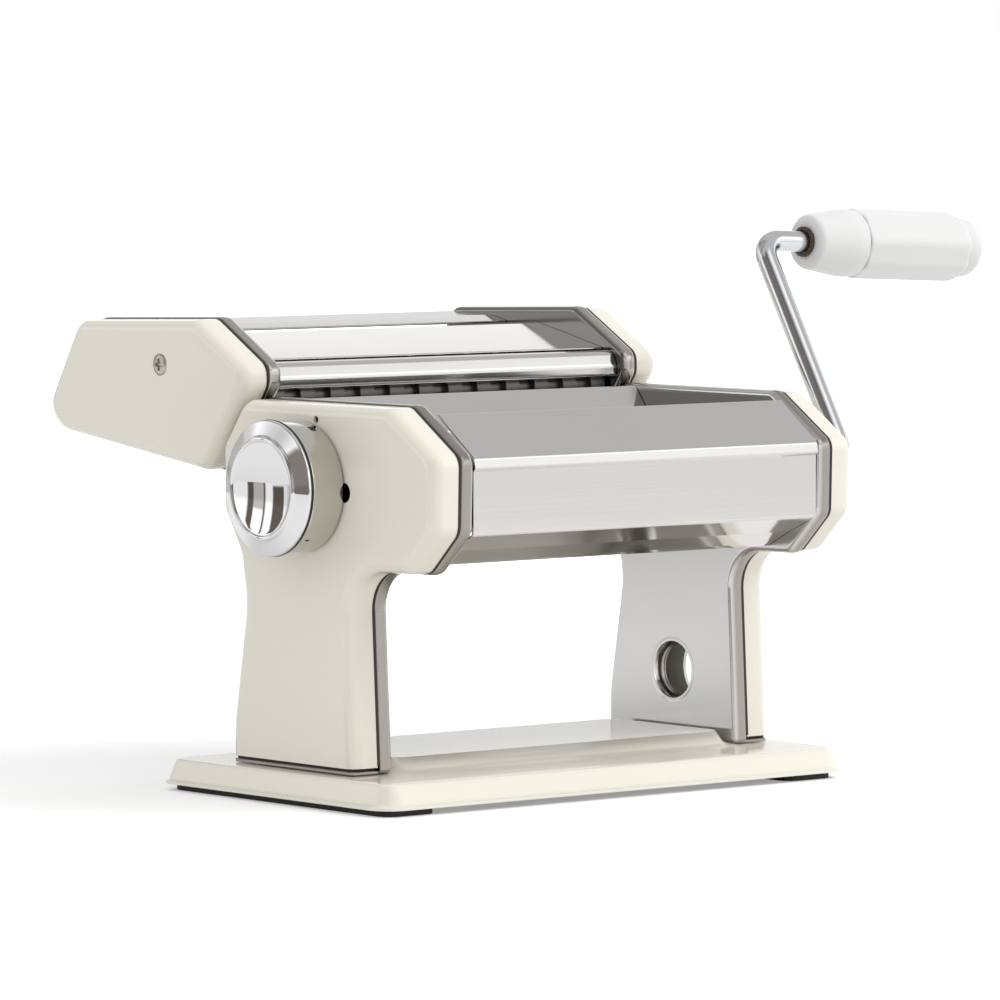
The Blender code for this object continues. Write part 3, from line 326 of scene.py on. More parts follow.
def folded_sheet(corners):
    """A folded sheet: its path moved half a thickness to both sides, its free edges half round."""
    path = bent(corners, 8)
    half = THIN / 2
    arc = np.radians(np.linspace(80, -80, 5))[:, None]
    ends = []
    for spot, way in ((path[-1], unit(path[-1] - path[-2])), (path[0], unit(path[0] - path[1]))):
        side = np.array([-way[1], way[0]])
        ends.append(spot + half * (np.cos(arc) * way + np.sin(arc) * side) - way * half)
    return across(np.vstack([beside(path, half)[:-1], ends[0], beside(path, -half)[-2:0:-1], ends[1]]))


def swept(path, radius, steps):
    """A round rod: at each point of the path a circle square to it, its frame carried without a twist."""
    side = np.array([0.0, 0.0, 1.0])
    angles = full_turn(steps)[:, None]
    rings = []
    for spot, way in zip(path, ways_along(path)):
        side = unit(side - way * (side @ way))
        rings.append(spot + radius * (np.cos(angles) * side + np.sin(angles) * np.cross(way, side)))
    return skin(rings)


def turned(section, axis, steps, closed=False):
    """A section of (radius, x) swept round x: (x, radius * cos t, radius * sin t) about the axis."""
    section = np.asarray(section, float)
    if closed:
        section = np.vstack([section, section[:1]])
    angles = full_turn(steps)
    radius, x = section[:, :1], np.repeat(section[:, 1:], steps, axis=1)
    rings = np.stack([x, radius * np.cos(angles) + axis[0], radius * np.sin(angles) + axis[1]], axis=-1)
    return skin(rings, capped=False)


def eased(corners, steps=4, closed=False):
    """A section of (radius, x, size) whose corners become quadratic curves that start size away.

    A curve takes less than half of each side.
    """
    spots = np.array([corner[:2] for corner in corners], float)
    count = len(spots)
    t = np.linspace(0, 1, steps + 1)[:, None]
    points = []
    for i, here in enumerate(spots):
        size = corners[i][2]
        if size <= 0 or (not closed and i in (0, count - 1)):
            points.append(spots[i:i + 1])
            continue
        start, end = (here + (other - here) * min(size / np.linalg.norm(other - here), 0.48)
                      for other in (spots[i - 1], spots[(i + 1) % count]))
        points.append((1 - t) ** 2 * start + 2 * t * (1 - t) * here + t ** 2 * end)
    return np.vstack(points)


def box_parts(low, high):
    """A plain box between two corners."""
    ring = np.array([(low[1], low[2]), (high[1], low[2]), (high[1], high[2]), (low[1], high[2])])
    return skin([at_x(ring, x) for x in (low[0], high[0])])


def bored(thing, tools):
    """Take the listed closed (points, faces) tools out of a piece."""
    for points, faces in tools:
        tool = placed("tool", plain_mesh("tool", points, faces))
        hole = thing.modifiers.new("hole", "BOOLEAN")
        hole.operation = "DIFFERENCE"
        hole.solver = "EXACT"
        hole.object = tool
        worked_in(thing)
        bpy.data.objects.remove(tool, do_unlink=True)
    smooth_over(thing, SMOOTH)


def round_tool(radius, axis, low, high, to_axis=None):
    """A round cutter along x, or a slot with round ends where a second axis is given."""
    angles = full_turn(64)
    ring = radius * np.stack([np.cos(angles), np.sin(angles)], axis=1) + np.array(axis)
    if to_axis is not None:
        ring += (np.cos(angles) > 0)[:, None] * (np.array(to_axis) - np.array(axis))
    return skin([at_x(ring, x) for x in (low, high)])


# Finishes.
class Term:
    """A socket that takes part in plain arithmetic: each operation adds a Math node to its tree."""

    def __init__(self, tree, socket):
        self.tree = tree
        self.socket = socket

    def maths(self, operation, first, second):
        node = self.tree.nodes.new("ShaderNodeMath")
        node.operation = operation
        for slot, value in zip(node.inputs, (first, second)):
            if isinstance(value, Term):
                self.tree.links.new(value.socket, slot)
            else:
                slot.default_value = value
        return Term(self.tree, node.outputs[0])

    def __add__(self, other):
        return self.maths("ADD", self, other)

    __radd__ = __add__

    def __sub__(self, other):
        return self.maths("SUBTRACT", self, other)

    def __rsub__(self, other):
        return self.maths("SUBTRACT", other, self)

    def __mul__(self, other):
        return self.maths("MULTIPLY", self, other)

    __rmul__ = __mul__


class Nodes:
    """A node tree, with any node and the plain patterns that the finishes and the stage share."""

    def __init__(self, tree):
        self.tree = tree

    def node(self, kind, sockets=None, settings=None, output=0):
        """Any node, with the value or link of each socket, by name or identifier, and its settings."""
        node = self.tree.nodes.new(kind)
        for key, value in (settings or {}).items():
            setattr(node, key, value)
        for key, value in (sockets or {}).items():
            self.join(next(s for s in node.inputs if key in (s.name, s.identifier)), value)
        return Term(self.tree, node.outputs[output])

    def join(self, socket, value):
        if isinstance(value, Term):
            self.tree.links.new(value.socket, socket)
        else:
            socket.default_value = value

    def spot(self):
        """Object coordinates, in metres."""
        return self.node("ShaderNodeTexCoord", output=3)

    def noise(self, scale, detail, stretch=(1.0, 1.0, 1.0)):
        """Noise over object coordinates that are scaled along each axis."""
        place = self.node("ShaderNodeMapping", {"Vector": self.spot(), "Scale": stretch})
        return self.node("ShaderNodeTexNoise", {"Vector": place, "Scale": scale, "Detail": detail})

    def blend(self, factor, first, second):
        """From the first colour at 0 to the second at 1."""
        return self.node("ShaderNodeMix", {"Factor_Float": factor, "A_Color": (*first, 1.0),
                                           "B_Color": (*second, 1.0)}, {"data_type": "RGBA"}, 2)

    def relief(self, height, depth, strength):
        return self.node("ShaderNodeBump", {"Height": height, "Distance": depth, "Strength": strength})

    def rise(self, value, low, high):
        """A smooth step from 0 below the low value to 1 above the high one."""
        return self.node("ShaderNodeMapRange", {"Value": value, "From Min": low, "From Max": high},
                         {"interpolation_type": "SMOOTHSTEP"})

    def band(self, value, low, high, soft):
        """1 between the low and the high value, with soft ends."""
        return self.rise(value, low - soft, low + soft) - self.rise(value, high - soft, high + soft)


class Finish(Nodes):
    """One material: a Principled shader, and the nodes that feed it."""

    def __init__(self, name):
        self.material = bpy.data.materials.new(name)
        self.material.use_nodes = True
        super().__init__(self.material.node_tree)
        self.shader = self.tree.nodes["Principled BSDF"]

    def feed(self, **links):
        """Set sockets of the shader; Base_Color stands for Base Color."""
        for key, value in links.items():
            self.join(self.shader.inputs[key.replace("_", " ")], value)


def enamel(name, light, shade):
    """Baked enamel: a soft gloss, a hint of unevenness in tone and a very fine orange peel."""
    paint = Finish(name)
    cloud = paint.noise(9.0, 2.0)
    peel = paint.noise(420.0, 1.0)
    paint.feed(Base_Color=paint.blend(cloud, light, shade), Roughness=0.16 + 0.08 * cloud,
               Coat_Weight=0.35, Coat_Roughness=0.06, Normal=paint.relief(peel, 0.00001, 0.5))
    return paint.material


def rolled_metal(name, light, shade, roughness, fine=0.000006, spread=0.12):
    """Sheet or rod metal with fine lines along x, as rolling leaves them."""
    metal = Finish(name)
    lines = metal.noise(1.0, 4.0, (4.0, 1500.0, 1500.0))
    cloud = metal.noise(22.0, 3.0)
    metal.feed(Base_Color=metal.blend(cloud, light, shade), Metallic=1.0,
               Roughness=roughness + spread * (lines - 0.5) + 0.05 * cloud,
               Normal=metal.relief(lines, fine, 0.6))
    return metal.material


def frame_metal(name, plate, rim, roughness):
    """Polished plate, and a rougher, finely lined rim from just outside the plate outwards whose own base
    colour paints the shade on the rim.
    """
    metal = Finish(name)
    lines = metal.noise(1.0, 4.0, (300.0, 300.0, 6.0))
    cloud = metal.noise(35.0, 3.0)
    distance = metal.node("ShaderNodeSeparateXYZ", {"Vector": metal.spot()}) - float(SHIFT[0]) * MM
    on_rim = metal.node("ShaderNodeMapRange",
                        {"Value": distance.maths("ABSOLUTE", distance, 0.0),
                         "From Min": (PLATE_IN + 0.5) * MM, "From Max": (PLATE_OUT + 0.8) * MM})
    metal.feed(Base_Color=metal.blend(on_rim, plate, rim), Metallic=1.0,
               Roughness=roughness + on_rim * (0.05 + 0.16 * (lines - 0.5)) + 0.05 * cloud,
               Normal=metal.relief(lines, 0.000008, 0.5))
    return metal.material


def plated(name, light, shade, roughness, smudge, relief=0.0):
    """Bright plating with faint smudges."""
    metal = Finish(name)
    cloud = metal.noise(60.0, 4.0)
    metal.feed(Base_Color=metal.blend(cloud, light, shade), Metallic=1.0,
               Roughness=roughness + smudge * cloud)
    if relief > 0:
        metal.feed(Normal=metal.relief(metal.noise(700.0, 2.0), relief, 0.5))
    return metal.material


def moulded(name, light, shade, roughness, grain, depth):
    """Moulded plastic or rubber with a fine grain."""
    stuff = Finish(name)
    cloud = stuff.noise(30.0, 3.0)
    stuff.feed(Base_Color=stuff.blend(cloud, light, shade), Roughness=roughness + 0.1 * cloud,
               Normal=stuff.relief(stuff.noise(grain, 2.0), depth, 0.6))
    return stuff.material


CREAM = enamel("cream_enamel", (0.835, 0.805, 0.715), (0.815, 0.782, 0.690))
GUARD_STEEL = rolled_metal("guard_steel", (0.69, 0.675, 0.66), (0.65, 0.635, 0.62), 0.09)
SHEET_STEEL = rolled_metal("cutter_steel", (0.67, 0.66, 0.65), (0.63, 0.62, 0.61), 0.08)
# The centre and back cutter sheets are the front bar's steel in darker copies: painted shade inside the
# cutter unit.
CENTRE_STEEL_PAINTED_SHADE = rolled_metal("cutter_centre_painted_shade", (0.56, 0.55, 0.54), (0.52, 0.51, 0.50), 0.08)
BACK_STEEL_PAINTED_SHADE = rolled_metal("cutter_back_painted_shade", (0.39, 0.385, 0.375), (0.36, 0.355, 0.345), 0.10)
# The frame's rim takes a darker, browner colour than its plate: painted shade beside the cover.
FRAME_STEEL_SHADED_RIM = frame_metal("frame_steel", (0.66, 0.655, 0.645), (0.35, 0.33, 0.30), 0.13)
# The cutter frame is the frame steel in dark copies for plate and rim: painted shade inside the cutter unit.
CUTTER_FRAME_PAINTED_SHADE = frame_metal("cutter_frame_painted_shade", (0.27, 0.26, 0.25), (0.46, 0.435, 0.405), 0.09)
ROLLER_STEEL = rolled_metal("roller_steel", (0.66, 0.65, 0.64), (0.6, 0.59, 0.58), 0.12)
# The ridged rollers' steel is near black: painted shade for the shade they lie in inside the cutter head.
CUTTER_STEEL_PAINTED_SHADE = rolled_metal("ridged_roller_painted_shade", (0.17, 0.165, 0.16), (0.13, 0.125, 0.12), 0.36)
DULL_STEEL = rolled_metal("dull_steel", (0.45, 0.44, 0.42), (0.36, 0.35, 0.33), 0.3, 0.00001, 0.2)
CHROME = plated("knob_chrome", (0.79, 0.785, 0.79), (0.77, 0.765, 0.77), 0.02, 0.02)
# The drum is the disc's chrome in a darker, warmer copy: painted reflection for the dimmer, tinted look of
# the drum.
DRUM_CHROME_PAINTED_REFLECTION = plated("drum_chrome_painted_reflection", (0.62, 0.605, 0.555), (0.60, 0.585, 0.535), 0.03, 0.02)
ZINC = plated("zinc_plate", (0.68, 0.695, 0.705), (0.62, 0.635, 0.645), 0.11, 0.08, 0.000008)
NICKEL = plated("screw_nickel", (0.60, 0.555, 0.505), (0.50, 0.46, 0.42), 0.30, 0.15, 0.00002)
BRASS = plated("bearing_brass", (0.62, 0.46, 0.22), (0.52, 0.37, 0.17), 0.26, 0.15, 0.00001)
GRIP_WHITE = moulded("grip_plastic", (0.735, 0.735, 0.735), (0.71, 0.71, 0.71), 0.36, 900.0, 0.000008)
RUBBER = moulded("black_rubber", (0.018, 0.018, 0.018), (0.030, 0.029, 0.028), 0.6, 1400.0, 0.00003)
WASHER_BROWN = moulded("washer_fibre", (0.075, 0.045, 0.028), (0.055, 0.033, 0.022), 0.5, 900.0, 0.000005)
# Black for the printed marks and the knob's seam, and as painted shade in the gaps beside the covers and in
# the screws' crosses.
MARK_AND_SHADE_BLACK = moulded("mark_and_shade_black", (0.010, 0.010, 0.010), (0.016, 0.016, 0.016), 0.5, 900.0, 0.000005)

# Each finish, with the starts of the names of the solids that have it. The longest start holds.
FINISHES = (
    (CREAM, "base_plate side_cover cutter_cover"), (RUBBER, "rubber_strip"),
    (FRAME_STEEL_SHADED_RIM, "side_frame clamp_eyelet"), (CUTTER_FRAME_PAINTED_SHADE, "cutter_frame"),
    (GUARD_STEEL, "front_guard rear_hopper"), (SHEET_STEEL, "cutter_front_bar"),
    (CENTRE_STEEL_PAINTED_SHADE, "cutter_centre_sheet"), (BACK_STEEL_PAINTED_SHADE, "cutter_back_sheet"),
    (ROLLER_STEEL, "front_roller rear_roller"), (CUTTER_STEEL_PAINTED_SHADE, "wide_cutter narrow_cutter"),
    (DULL_STEEL, "front_roller_gear rear_roller_gear wide_gear narrow_gear roller_scraper cutter_comb"),
    (DULL_STEEL, "carriage index_plate"), (BRASS, "front_bush rear_bush regulator_cam"),
    (ZINC, "tie_rod cutter_tie_rod regulator_shaft index_pin crank_rod"), (NICKEL, "cutter_screw"),
    (CHROME, "knob"), (DRUM_CHROME_PAINTED_REFLECTION, "knob_skirt"), (GRIP_WHITE, "grip"), (WASHER_BROWN, "grip_washer"))
CAD_FINISH = {start: finish for finish, starts in FINISHES for start in starts.split()}

for node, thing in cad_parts.items():
    longest = max((start for start in CAD_FINISH if node.startswith(start)), key=len)
    for slot in thing.material_slots:
        slot.material = CAD_FINISH[longest]


# Frames and covers.
def machine_corners(foot_z, foot_round):
    """Corners of head and leg, with the foot at the given height on the leg's front line."""
    top, foot = np.array(LEG_FRONT_TOP), np.array(LEG_FRONT_FOOT)
    front = foot + (top - foot) * (foot_z - foot[1]) / (top[1] - foot[1])
    return HEAD + [(front[0], foot_z, foot_round), (LEG_BACK_Y, foot_z, foot_round)] + LEG_BACK


FOOT_SIDE = len(HEAD)
FACE_SWELL, BORDER_ROUND = 1.25, 0.80
COVER_BACK, COVER_LIP = 0.7, 0.25
# Size of the black strip in the gap between rim and cover, which is painted shade.
SHADE_STRIP_INSET, SHADE_STRIP_DEPTH, SHADE_STRIP_LAP = 0.55, 2.2, 0.4
PLATE_CUT = (PLATE_IN - 2, PLATE_OUT + 2)
FACE_CUT = (COVER_OUT - 5, COVER_OUT + 4)


def cover_section():
    """Outer skin from the open edge over the border to the face, then back along the inner skin.

    The border lies between a chamfer and a quarter round: chamfer + BORDER_ROUND * (arc - chamfer).
    """
    share = np.linspace(0, 1, len(QUARTER))
    border_x = COVER_OUT - COVER_BORDER
    chamfer = np.stack([border_x + COVER_BORDER * share, COVER_BORDER * share], axis=1)
    arc = np.stack([border_x + COVER_BORDER * np.sin(QUARTER),
                    COVER_BORDER * (1 - np.cos(QUARTER))], axis=1)
    border = chamfer + BORDER_ROUND * (arc - chamfer)
    border[:, 1] = COVER_BACK + border[:, 1] * (1 - COVER_BACK / COVER_BORDER)
    outer = [(COVER_IN, COVER_BACK + COVER_LIP), (COVER_IN + COVER_LIP, COVER_BACK), *border]
    inner = [(COVER_OUT - SHEET, COVER_BORDER), (COVER_OUT - SHEET - 1.5, COVER_BORDER - 1.8),
             (border_x, SHEET), (COVER_IN, SHEET)]
    return outer, inner


def frame_section():
    """Plate face, bend, rim with a rounded edge, and back along the inside to the plate's other face."""
    bend_x, bend_in, edge_x, edge_in = 2.9, 1.9, 1.7, 0.75
    bend = np.stack([PLATE_IN + bend_x * (1 - np.cos(QUARTER)), bend_in * (1 - np.sin(QUARTER))], axis=1)
    edge = np.stack([RIM_OUT - edge_x * (1 - np.sin(QUARTER)), edge_in * (1 - np.cos(QUARTER))], axis=1)
    return [(PLATE_IN, bend_in + 0.6), *bend, *edge, (RIM_OUT, SHEET + 0.1), (RIM_OUT - 0.3, SHEET + 0.35),
            (PLATE_OUT + 1.2, SHEET + 0.2), (PLATE_OUT, SHEET + 1.4), (PLATE_OUT, SHEET + 2.2)]


def pressed(corners, section, side, still=(), swell=0.0):
    """A pressed pan: the outline, moved in by each step's inset, carried out to its distance."""
    return [at_x(rounded(corners, inset, 10, still, swell), side * distance) for distance, inset in section]


def pressed_cover(corners, side, still=()):
    """A cover: the outer skin closed by its face and the inner one by its own, joined at the edge."""
    outer, inner = cover_section()
    return skin(pressed(corners, outer[::-1], side, still, FACE_SWELL)
                + pressed(corners, inner[::-1], side, (), FACE_SWELL))


def pressed_shade_strip(corners, side):
    """A black strip in the gap between rim and cover, painted shade for the dark gap: a rectangle carried
    round the outline.
    """
    near, far = RIM_OUT - SHADE_STRIP_LAP, COVER_IN + SHADE_STRIP_LAP
    deep = (near, SHADE_STRIP_DEPTH)
    section = [deep, (near, SHADE_STRIP_INSET), (far, SHADE_STRIP_INSET), (far, SHADE_STRIP_DEPTH), deep]
    return skin(pressed(corners, section, side), False)


def foot_slab(side):
    """The foot that carries the cover: a thin rounded rectangle with eased edges."""
    near, ease = PLATE_IN + 0.9, 0.25
    plan = [(near, FOOT_FRONT, 0.3), (FOOT_OUT, FOOT_FRONT, 2.0), (FOOT_OUT, FOOT_BACK, 2.0),
            (near, FOOT_BACK, 0.3)]
    steps = ((ease, 0.0), (0.0, ease), (0.0, SHEET - ease), (ease, SHEET))
    return skin([at_z(rounded(plan, inset, 6) * np.array([side, 1.0]), FOOT_Z + z) for inset, z in steps])


def make_frame(side, end):
    """Plate and rim, bored for the bushes and on the right for the clamp, and the foot."""
    node = "side_frame_" + end
    through = span(side, *PLATE_CUT)
    plate = piece("frame_plate_" + end, skin(pressed(machine_corners(FOOT_Z, 1.5), frame_section(), side)),
                  FRAME_STEEL_SHADED_RIM, "machine", node)
    tools = [round_tool(BUSH_R + GAP, FRONT_AXIS, *through),
             round_tool(BUSH_R + GAP, REAR_AXIS, *through, REAR_STOP)]
    if side > 0:
        tools.append(round_tool(EYELET_R + 0.9, CLAMP, *through))
    bored(plate, tools)
    piece("frame_foot_" + end, foot_slab(side), FRAME_STEEL_SHADED_RIM, "machine", node)


def make_cover(side, end):
    """The cover, open at its foot, with black pieces that paint the gaps' shade: a strip behind its edge and
    a block under its foot.
    """
    corners = machine_corners(COVER_Z, 0.0)
    node = "side_cover_" + end
    cover = piece("cover_shell_" + end, pressed_cover(corners, side, (FOOT_SIDE,)), CREAM, "machine", node)
    near, far = span(side, RIM_OUT, FOOT_OUT - 0.9)
    front, back, low, high = LEG_FRONT_FOOT[0] + 2.9, LEG_BACK_Y - 3.0, FOOT_Z + SHEET + 0.05, COVER_Z + 0.4
    # A black block in the gap between foot and cover: painted shade.
    under = box_parts((near, front, low), (far, back, high))
    piece("cover_gap_shade_" + end, together(pressed_shade_strip(corners, side), under), MARK_AND_SHADE_BLACK, "machine", node)
    holes = [(CLAMP_HOLE_R, CLAMP), (CRANK_HOLE_R, FRONT_AXIS)]
    if side < 0:
        holes = [(KNOB_HOLE_R, REAR_AXIS)]
        holes += [(radius, round_knob(reach, turn)) for reach, turn, radius in MARK_HOLES]
    bored(cover, [round_tool(radius, spot, *span(side, *FACE_CUT)) for radius, spot in holes])


def make_cutter_end(side, end):
    """The cutter unit's plate, and its cover with the screw's seat and on the right the crank's holes."""
    corners = moved(CUT_CORNERS, WIDE_FRONT)
    # The cutter plate's dark steel is painted shade.
    piece("cutter_plate_" + end, skin(pressed(corners, frame_section(), side)), CUTTER_FRAME_PAINTED_SHADE, "cutter_unit",
          "cutter_frame_" + end)
    node = "cutter_cover_" + end
    shell = piece("cutter_shell_" + end, pressed_cover(corners, side), CREAM, "cutter_unit", node)
    # The black strip behind the cutter cover's edge is painted shade.
    piece("cutter_gap_shade_" + end, pressed_shade_strip(corners, side), MARK_AND_SHADE_BLACK, "cutter_unit", node)
    tools = [round_tool(SCREW_R + 0.35, SCREW, *span(side, COVER_OUT - 0.7, COVER_OUT + 4))]
    if side > 0:
        tools += [round_tool(CUT_HOLE_R, axis, *FACE_CUT) for axis in (WIDE_FRONT, NARROW_FRONT)]
    bored(shell, tools)


for side, end in SIDES:
    make_frame(side, end)
    make_cover(side, end)
    make_cutter_end(side, end)


# Base.
def base_ring(half_x, front, back, radius, z):
    """A rounded rectangle at one height."""
    corners = [(-half_x, front, radius), (half_x, front, radius), (half_x, back, radius),
               (-half_x, back, radius)]
    return at_z(rounded(corners, 0.0, 12), z)


def skirt_step(inset, z):
    """The base's outline moved in, as (half x, front y, back y, corner radius, z)."""
    return BASE_X - inset, inset - BASE_Y, BASE_Y - inset, BASE_ROUND - inset, z


def base_steps(wall):
    """The base's shape from the middle out, or its inner side where a wall is given."""
    steps = [(RAISED_X - RAISED_END, RAISED_FRONT + RAISED_SLOPE, RAISED_BACK - RAISED_SLOPE,
              RAISED_TOP_ROUND, RAISED_TOP), (RAISED_X, RAISED_FRONT, RAISED_BACK, RAISED_ROUND, BASE_TOP)]
    steps += [skirt_step(inset, BASE_TOP - drop) for inset, drop in BASE_DROPS]
    return np.array(steps) + np.array([-1.0, 1.0, -1.0, -1.0, -1.0]) * wall


def make_base():
    """The pressed base: its steps joined by short curves, a thin flange, and the same shape inside."""
    outer, inner = base_steps(0.0), base_steps(BASE_WALL)
    share = 0.3
    soft = [outer[0]]
    for before, here, after in zip(outer, outer[1:], outer[2:]):
        soft += [here + (before - here) * share * (1 - t) ** 2 + (after - here) * share * t ** 2
                 for t in np.linspace(0, 1, 4)]
    soft.append(outer[-1])
    flange = [skirt_step(0.25, BASE_LOW + 1.0), skirt_step(0.0, BASE_LOW + 0.7), skirt_step(0.0, BASE_LOW)]
    steps = soft + flange + [(*inner[-1][:4], BASE_LOW)] + list(inner[::-1])
    piece("base_skin", skin([base_ring(*step) for step in steps]), CREAM, "machine", "base_plate", 50.0)


make_base()


# Sheets.
GUARD_BACK = -73.9
GUARD = [(-56.0, 131.2, 0.0), (-74.3, 117.6, 1.6), (-74.9, 114.5, 0.45), (GUARD_BACK, 113.4, 0.45),
         (GUARD_BACK, 92.4, 0.9), (-60.4, 86.8, 0.5), (-51.8, 82.4, 0.5), (-49.2, 81.2, 0.0)]
HOPPER = [(24.6, 131.0, 0.0), (20.2, 133.4, 0.9), (9.2, 119.2, 0.0)]
BACK_SHEET = [(24.8, 11.6, 0.0), (2.8, 10.8, 4.0), (-5.7, 8.9, 0.0)]
CENTRE_SHEET = [(-0.4, 4.0, 0.0), (-2.0, 8.3, 1.2), (-8.0, 8.6, 3.0), (-24.0, 5.2, 8.0), (-42.2, 1.0, 0.0)]
FRONT_BAR = [(-8.2, 12.7, 1.0), (-12.0, 11.6, 2.6), (-14.0, 7.0, 4.0), (-13.9, 3.6, 1.2), (-9.4, 2.2, 1.2)]


# The two cutter sheets take the darker copies of the sheet steel, which are painted shade.
for name, corners, finish, body, node in (
        ("guard", GUARD, GUARD_STEEL, "machine", "front_guard"),
        ("hopper", HOPPER, GUARD_STEEL, "machine", "rear_hopper"),
        ("cutter_back", moved(BACK_SHEET, NARROW_BACK, CUT_RIDGE), BACK_STEEL_PAINTED_SHADE, "cutter_unit",
         "cutter_back_sheet"),
        ("cutter_centre", moved(CENTRE_SHEET, NARROW_FRONT, CUT_RIDGE), CENTRE_STEEL_PAINTED_SHADE, "cutter_unit",
         "cutter_centre_sheet")):
    piece(name + "_skin", folded_sheet(corners), finish, body, node)
piece("cutter_bar_skin", across(rounded(moved(FRONT_BAR, WIDE_FRONT))), SHEET_STEEL, "cutter_unit",
      "cutter_front_bar")


# Rollers, bars and bushes.
def roller_section(right_end, journal, socket):
    """A smooth roller with eased ends, its journals, and the crank's socket where it has one."""
    start = [(0.0, right_end - socket, 0.0)]
    if socket > 0:
        start += [(SOCKET_R, right_end - socket, 0.0), (SOCKET_R, right_end, 0.4)]
    left_end = -BUSH_OUT - SHAFT_PAST
    return eased([*start, (journal, right_end, 0.4), (journal, ROLLER_END, 0.0), (ROLLER_R, ROLLER_END, 0.5),
                  (ROLLER_R, -ROLLER_END, 0.5), (JOURNAL_R, -ROLLER_END, 0.0), (JOURNAL_R, left_end, 0.4),
                  (0.0, left_end, 0.0)])


for name, axis, right_end, journal, socket in (
        ("front_roller", FRONT_AXIS, CRANK_SHAFT_OUT, CRANK_JOURNAL_R, SOCKET_DEPTH),
        ("rear_roller", REAR_AXIS, GEAR_OUT + SHAFT_PAST, JOURNAL_R, 0.0)):
    section = roller_section(right_end, journal, socket)
    piece(name + "_skin", turned(section, axis, 96), ROLLER_STEEL, name, name)
for name, spot, body in (
        ("tie_rod_low", TIE_LOW, "machine"), ("tie_rod_high", TIE_HIGH, "machine"),
        ("cutter_tie_rod", CUT_TIE, "cutter_unit")):
    section = eased([(0.0, HALF_INSIDE, 0.0), (TIE_R, HALF_INSIDE, 0.6), (TIE_R, -HALF_INSIDE, 0.6),
                     (0.0, -HALF_INSIDE, 0.0)])
    piece(name + "_skin", turned(section, spot, 48), ZINC, body, name)
for name, axis, side, journal, body in (
        ("front_bush_left", FRONT_AXIS, -1, JOURNAL_R, "machine"),
        ("front_bush_right", FRONT_AXIS, 1, CRANK_JOURNAL_R, "machine"),
        ("rear_bush_left", REAR_AXIS, -1, JOURNAL_R, "gap_carriage"),
        ("rear_bush_right", REAR_AXIS, 1, JOURNAL_R, "gap_carriage")):
    bore, seat = journal + GAP, PLATE_OUT + GAP
    ring = [(bore, BUSH_OUT, 0.3), (BUSH_FLANGE_R, BUSH_OUT, 0.4), (BUSH_FLANGE_R, seat, 0.2),
            (BUSH_R, seat, 0.0), (BUSH_R, HALF_INSIDE, 0.3), (bore, HALF_INSIDE, 0.3)]
    ring = eased(on_side(ring, side), 3, True)
    piece(name + "_skin", turned(ring, axis, 48, True), BRASS, body, name)


def ridge_section(noodle, driven):
    """Ridges and grooves of one noodle width, each ridge narrower by the side clearance.

    The driven roller of a pair begins with a ridge, and its shaft is longer and has the crank's socket.
    """
    ease = 0.15
    count = int(2 * ROLLER_END / noodle)
    edge = noodle * count / 2
    right_end = CUT_SHAFT_END if driven else CUT_GEAR_OUT + SHAFT_PAST
    section = [(0.0, right_end)]
    if driven:
        floor = right_end - CUT_SOCKET_DEPTH
        section = [(0.0, floor), (CUT_SOCKET_R, floor), (CUT_SOCKET_R, right_end)]
    section += [(CUT_JOURNAL_R, right_end), (CUT_JOURNAL_R, ROLLER_END), (CUT_GROOVE, ROLLER_END)]
    for k in range(count):
        high, low = edge - noodle * k, edge - noodle * (k + 1)
        if (k % 2 == 0) == driven:
            high, low = min(high - CUT_SIDE / 2, ROLLER_END), max(low + CUT_SIDE / 2, -ROLLER_END)
            section += [(CUT_GROOVE, high), (CUT_RIDGE - ease, high), (CUT_RIDGE, high - ease),
                        (CUT_RIDGE, low + ease), (CUT_RIDGE - ease, low), (CUT_GROOVE, low)]
    return section + [(CUT_GROOVE, -ROLLER_END), (CUT_JOURNAL_R, -ROLLER_END),
                      (CUT_JOURNAL_R, CUT_SHAFT_START), (0.0, CUT_SHAFT_START)]


# The ridged rollers' near-black steel is painted shade.
for name, axis, noodle, driven, body in (
        ("wide_cutter_front", WIDE_FRONT, WIDE_NOODLE, True, "wide_front"),
        ("wide_cutter_back", WIDE_BACK, WIDE_NOODLE, False, "wide_back"),
        ("narrow_cutter_front", NARROW_FRONT, NARROW_NOODLE, True, "narrow_front"),
        ("narrow_cutter_back", NARROW_BACK, NARROW_NOODLE, False, "narrow_back")):
    piece(name + "_skin", turned(ridge_section(noodle, driven), axis, 48), CUTTER_STEEL_PAINTED_SHADE, body, name, 30.0)


# Clamp eyelet and screws.
def make_eyelet():
    """The plate's edge flared into the hole: a quarter ellipse to the throat, then a rolled bead.

    Flare: (throat + wide * (1 - sin t), face + deep * (1 - cos t)), bead: a circle of (r cos t, r sin t).
    """
    wide, deep, bead_r = 2.1, 3.2, 0.75
    face, throat = PLATE_IN - 0.05, EYELET_R + 0.1
    flare = np.stack([throat + wide * (1 - np.sin(QUARTER)), face + deep * (1 - np.cos(QUARTER))], axis=1)
    roll = np.radians(np.linspace(110, 380, 13))
    bead = np.stack([throat + 0.7 + bead_r * np.cos(roll), face + 4.6 + bead_r * np.sin(roll)], axis=1)
    section = [*flare, (throat, face + 3.7), *bead, (throat + 1.0, face + deep),
               (throat + wide, PLATE_IN + 0.4)]
    piece("eyelet_skin", turned(section, CLAMP, 72, True), FRAME_STEEL_SHADED_RIM, "machine", "clamp_eyelet")


def cross_bars(low, high):
    """The two bars of the screw's cross, between two x."""
    y, z = SCREW
    long, wide = 2.1, 0.5
    return [box_parts((low, y - reach_y, z - reach_z), (high, y + reach_y, z + reach_z))
            for reach_y, reach_z in ((long, wide), (wide, long))]


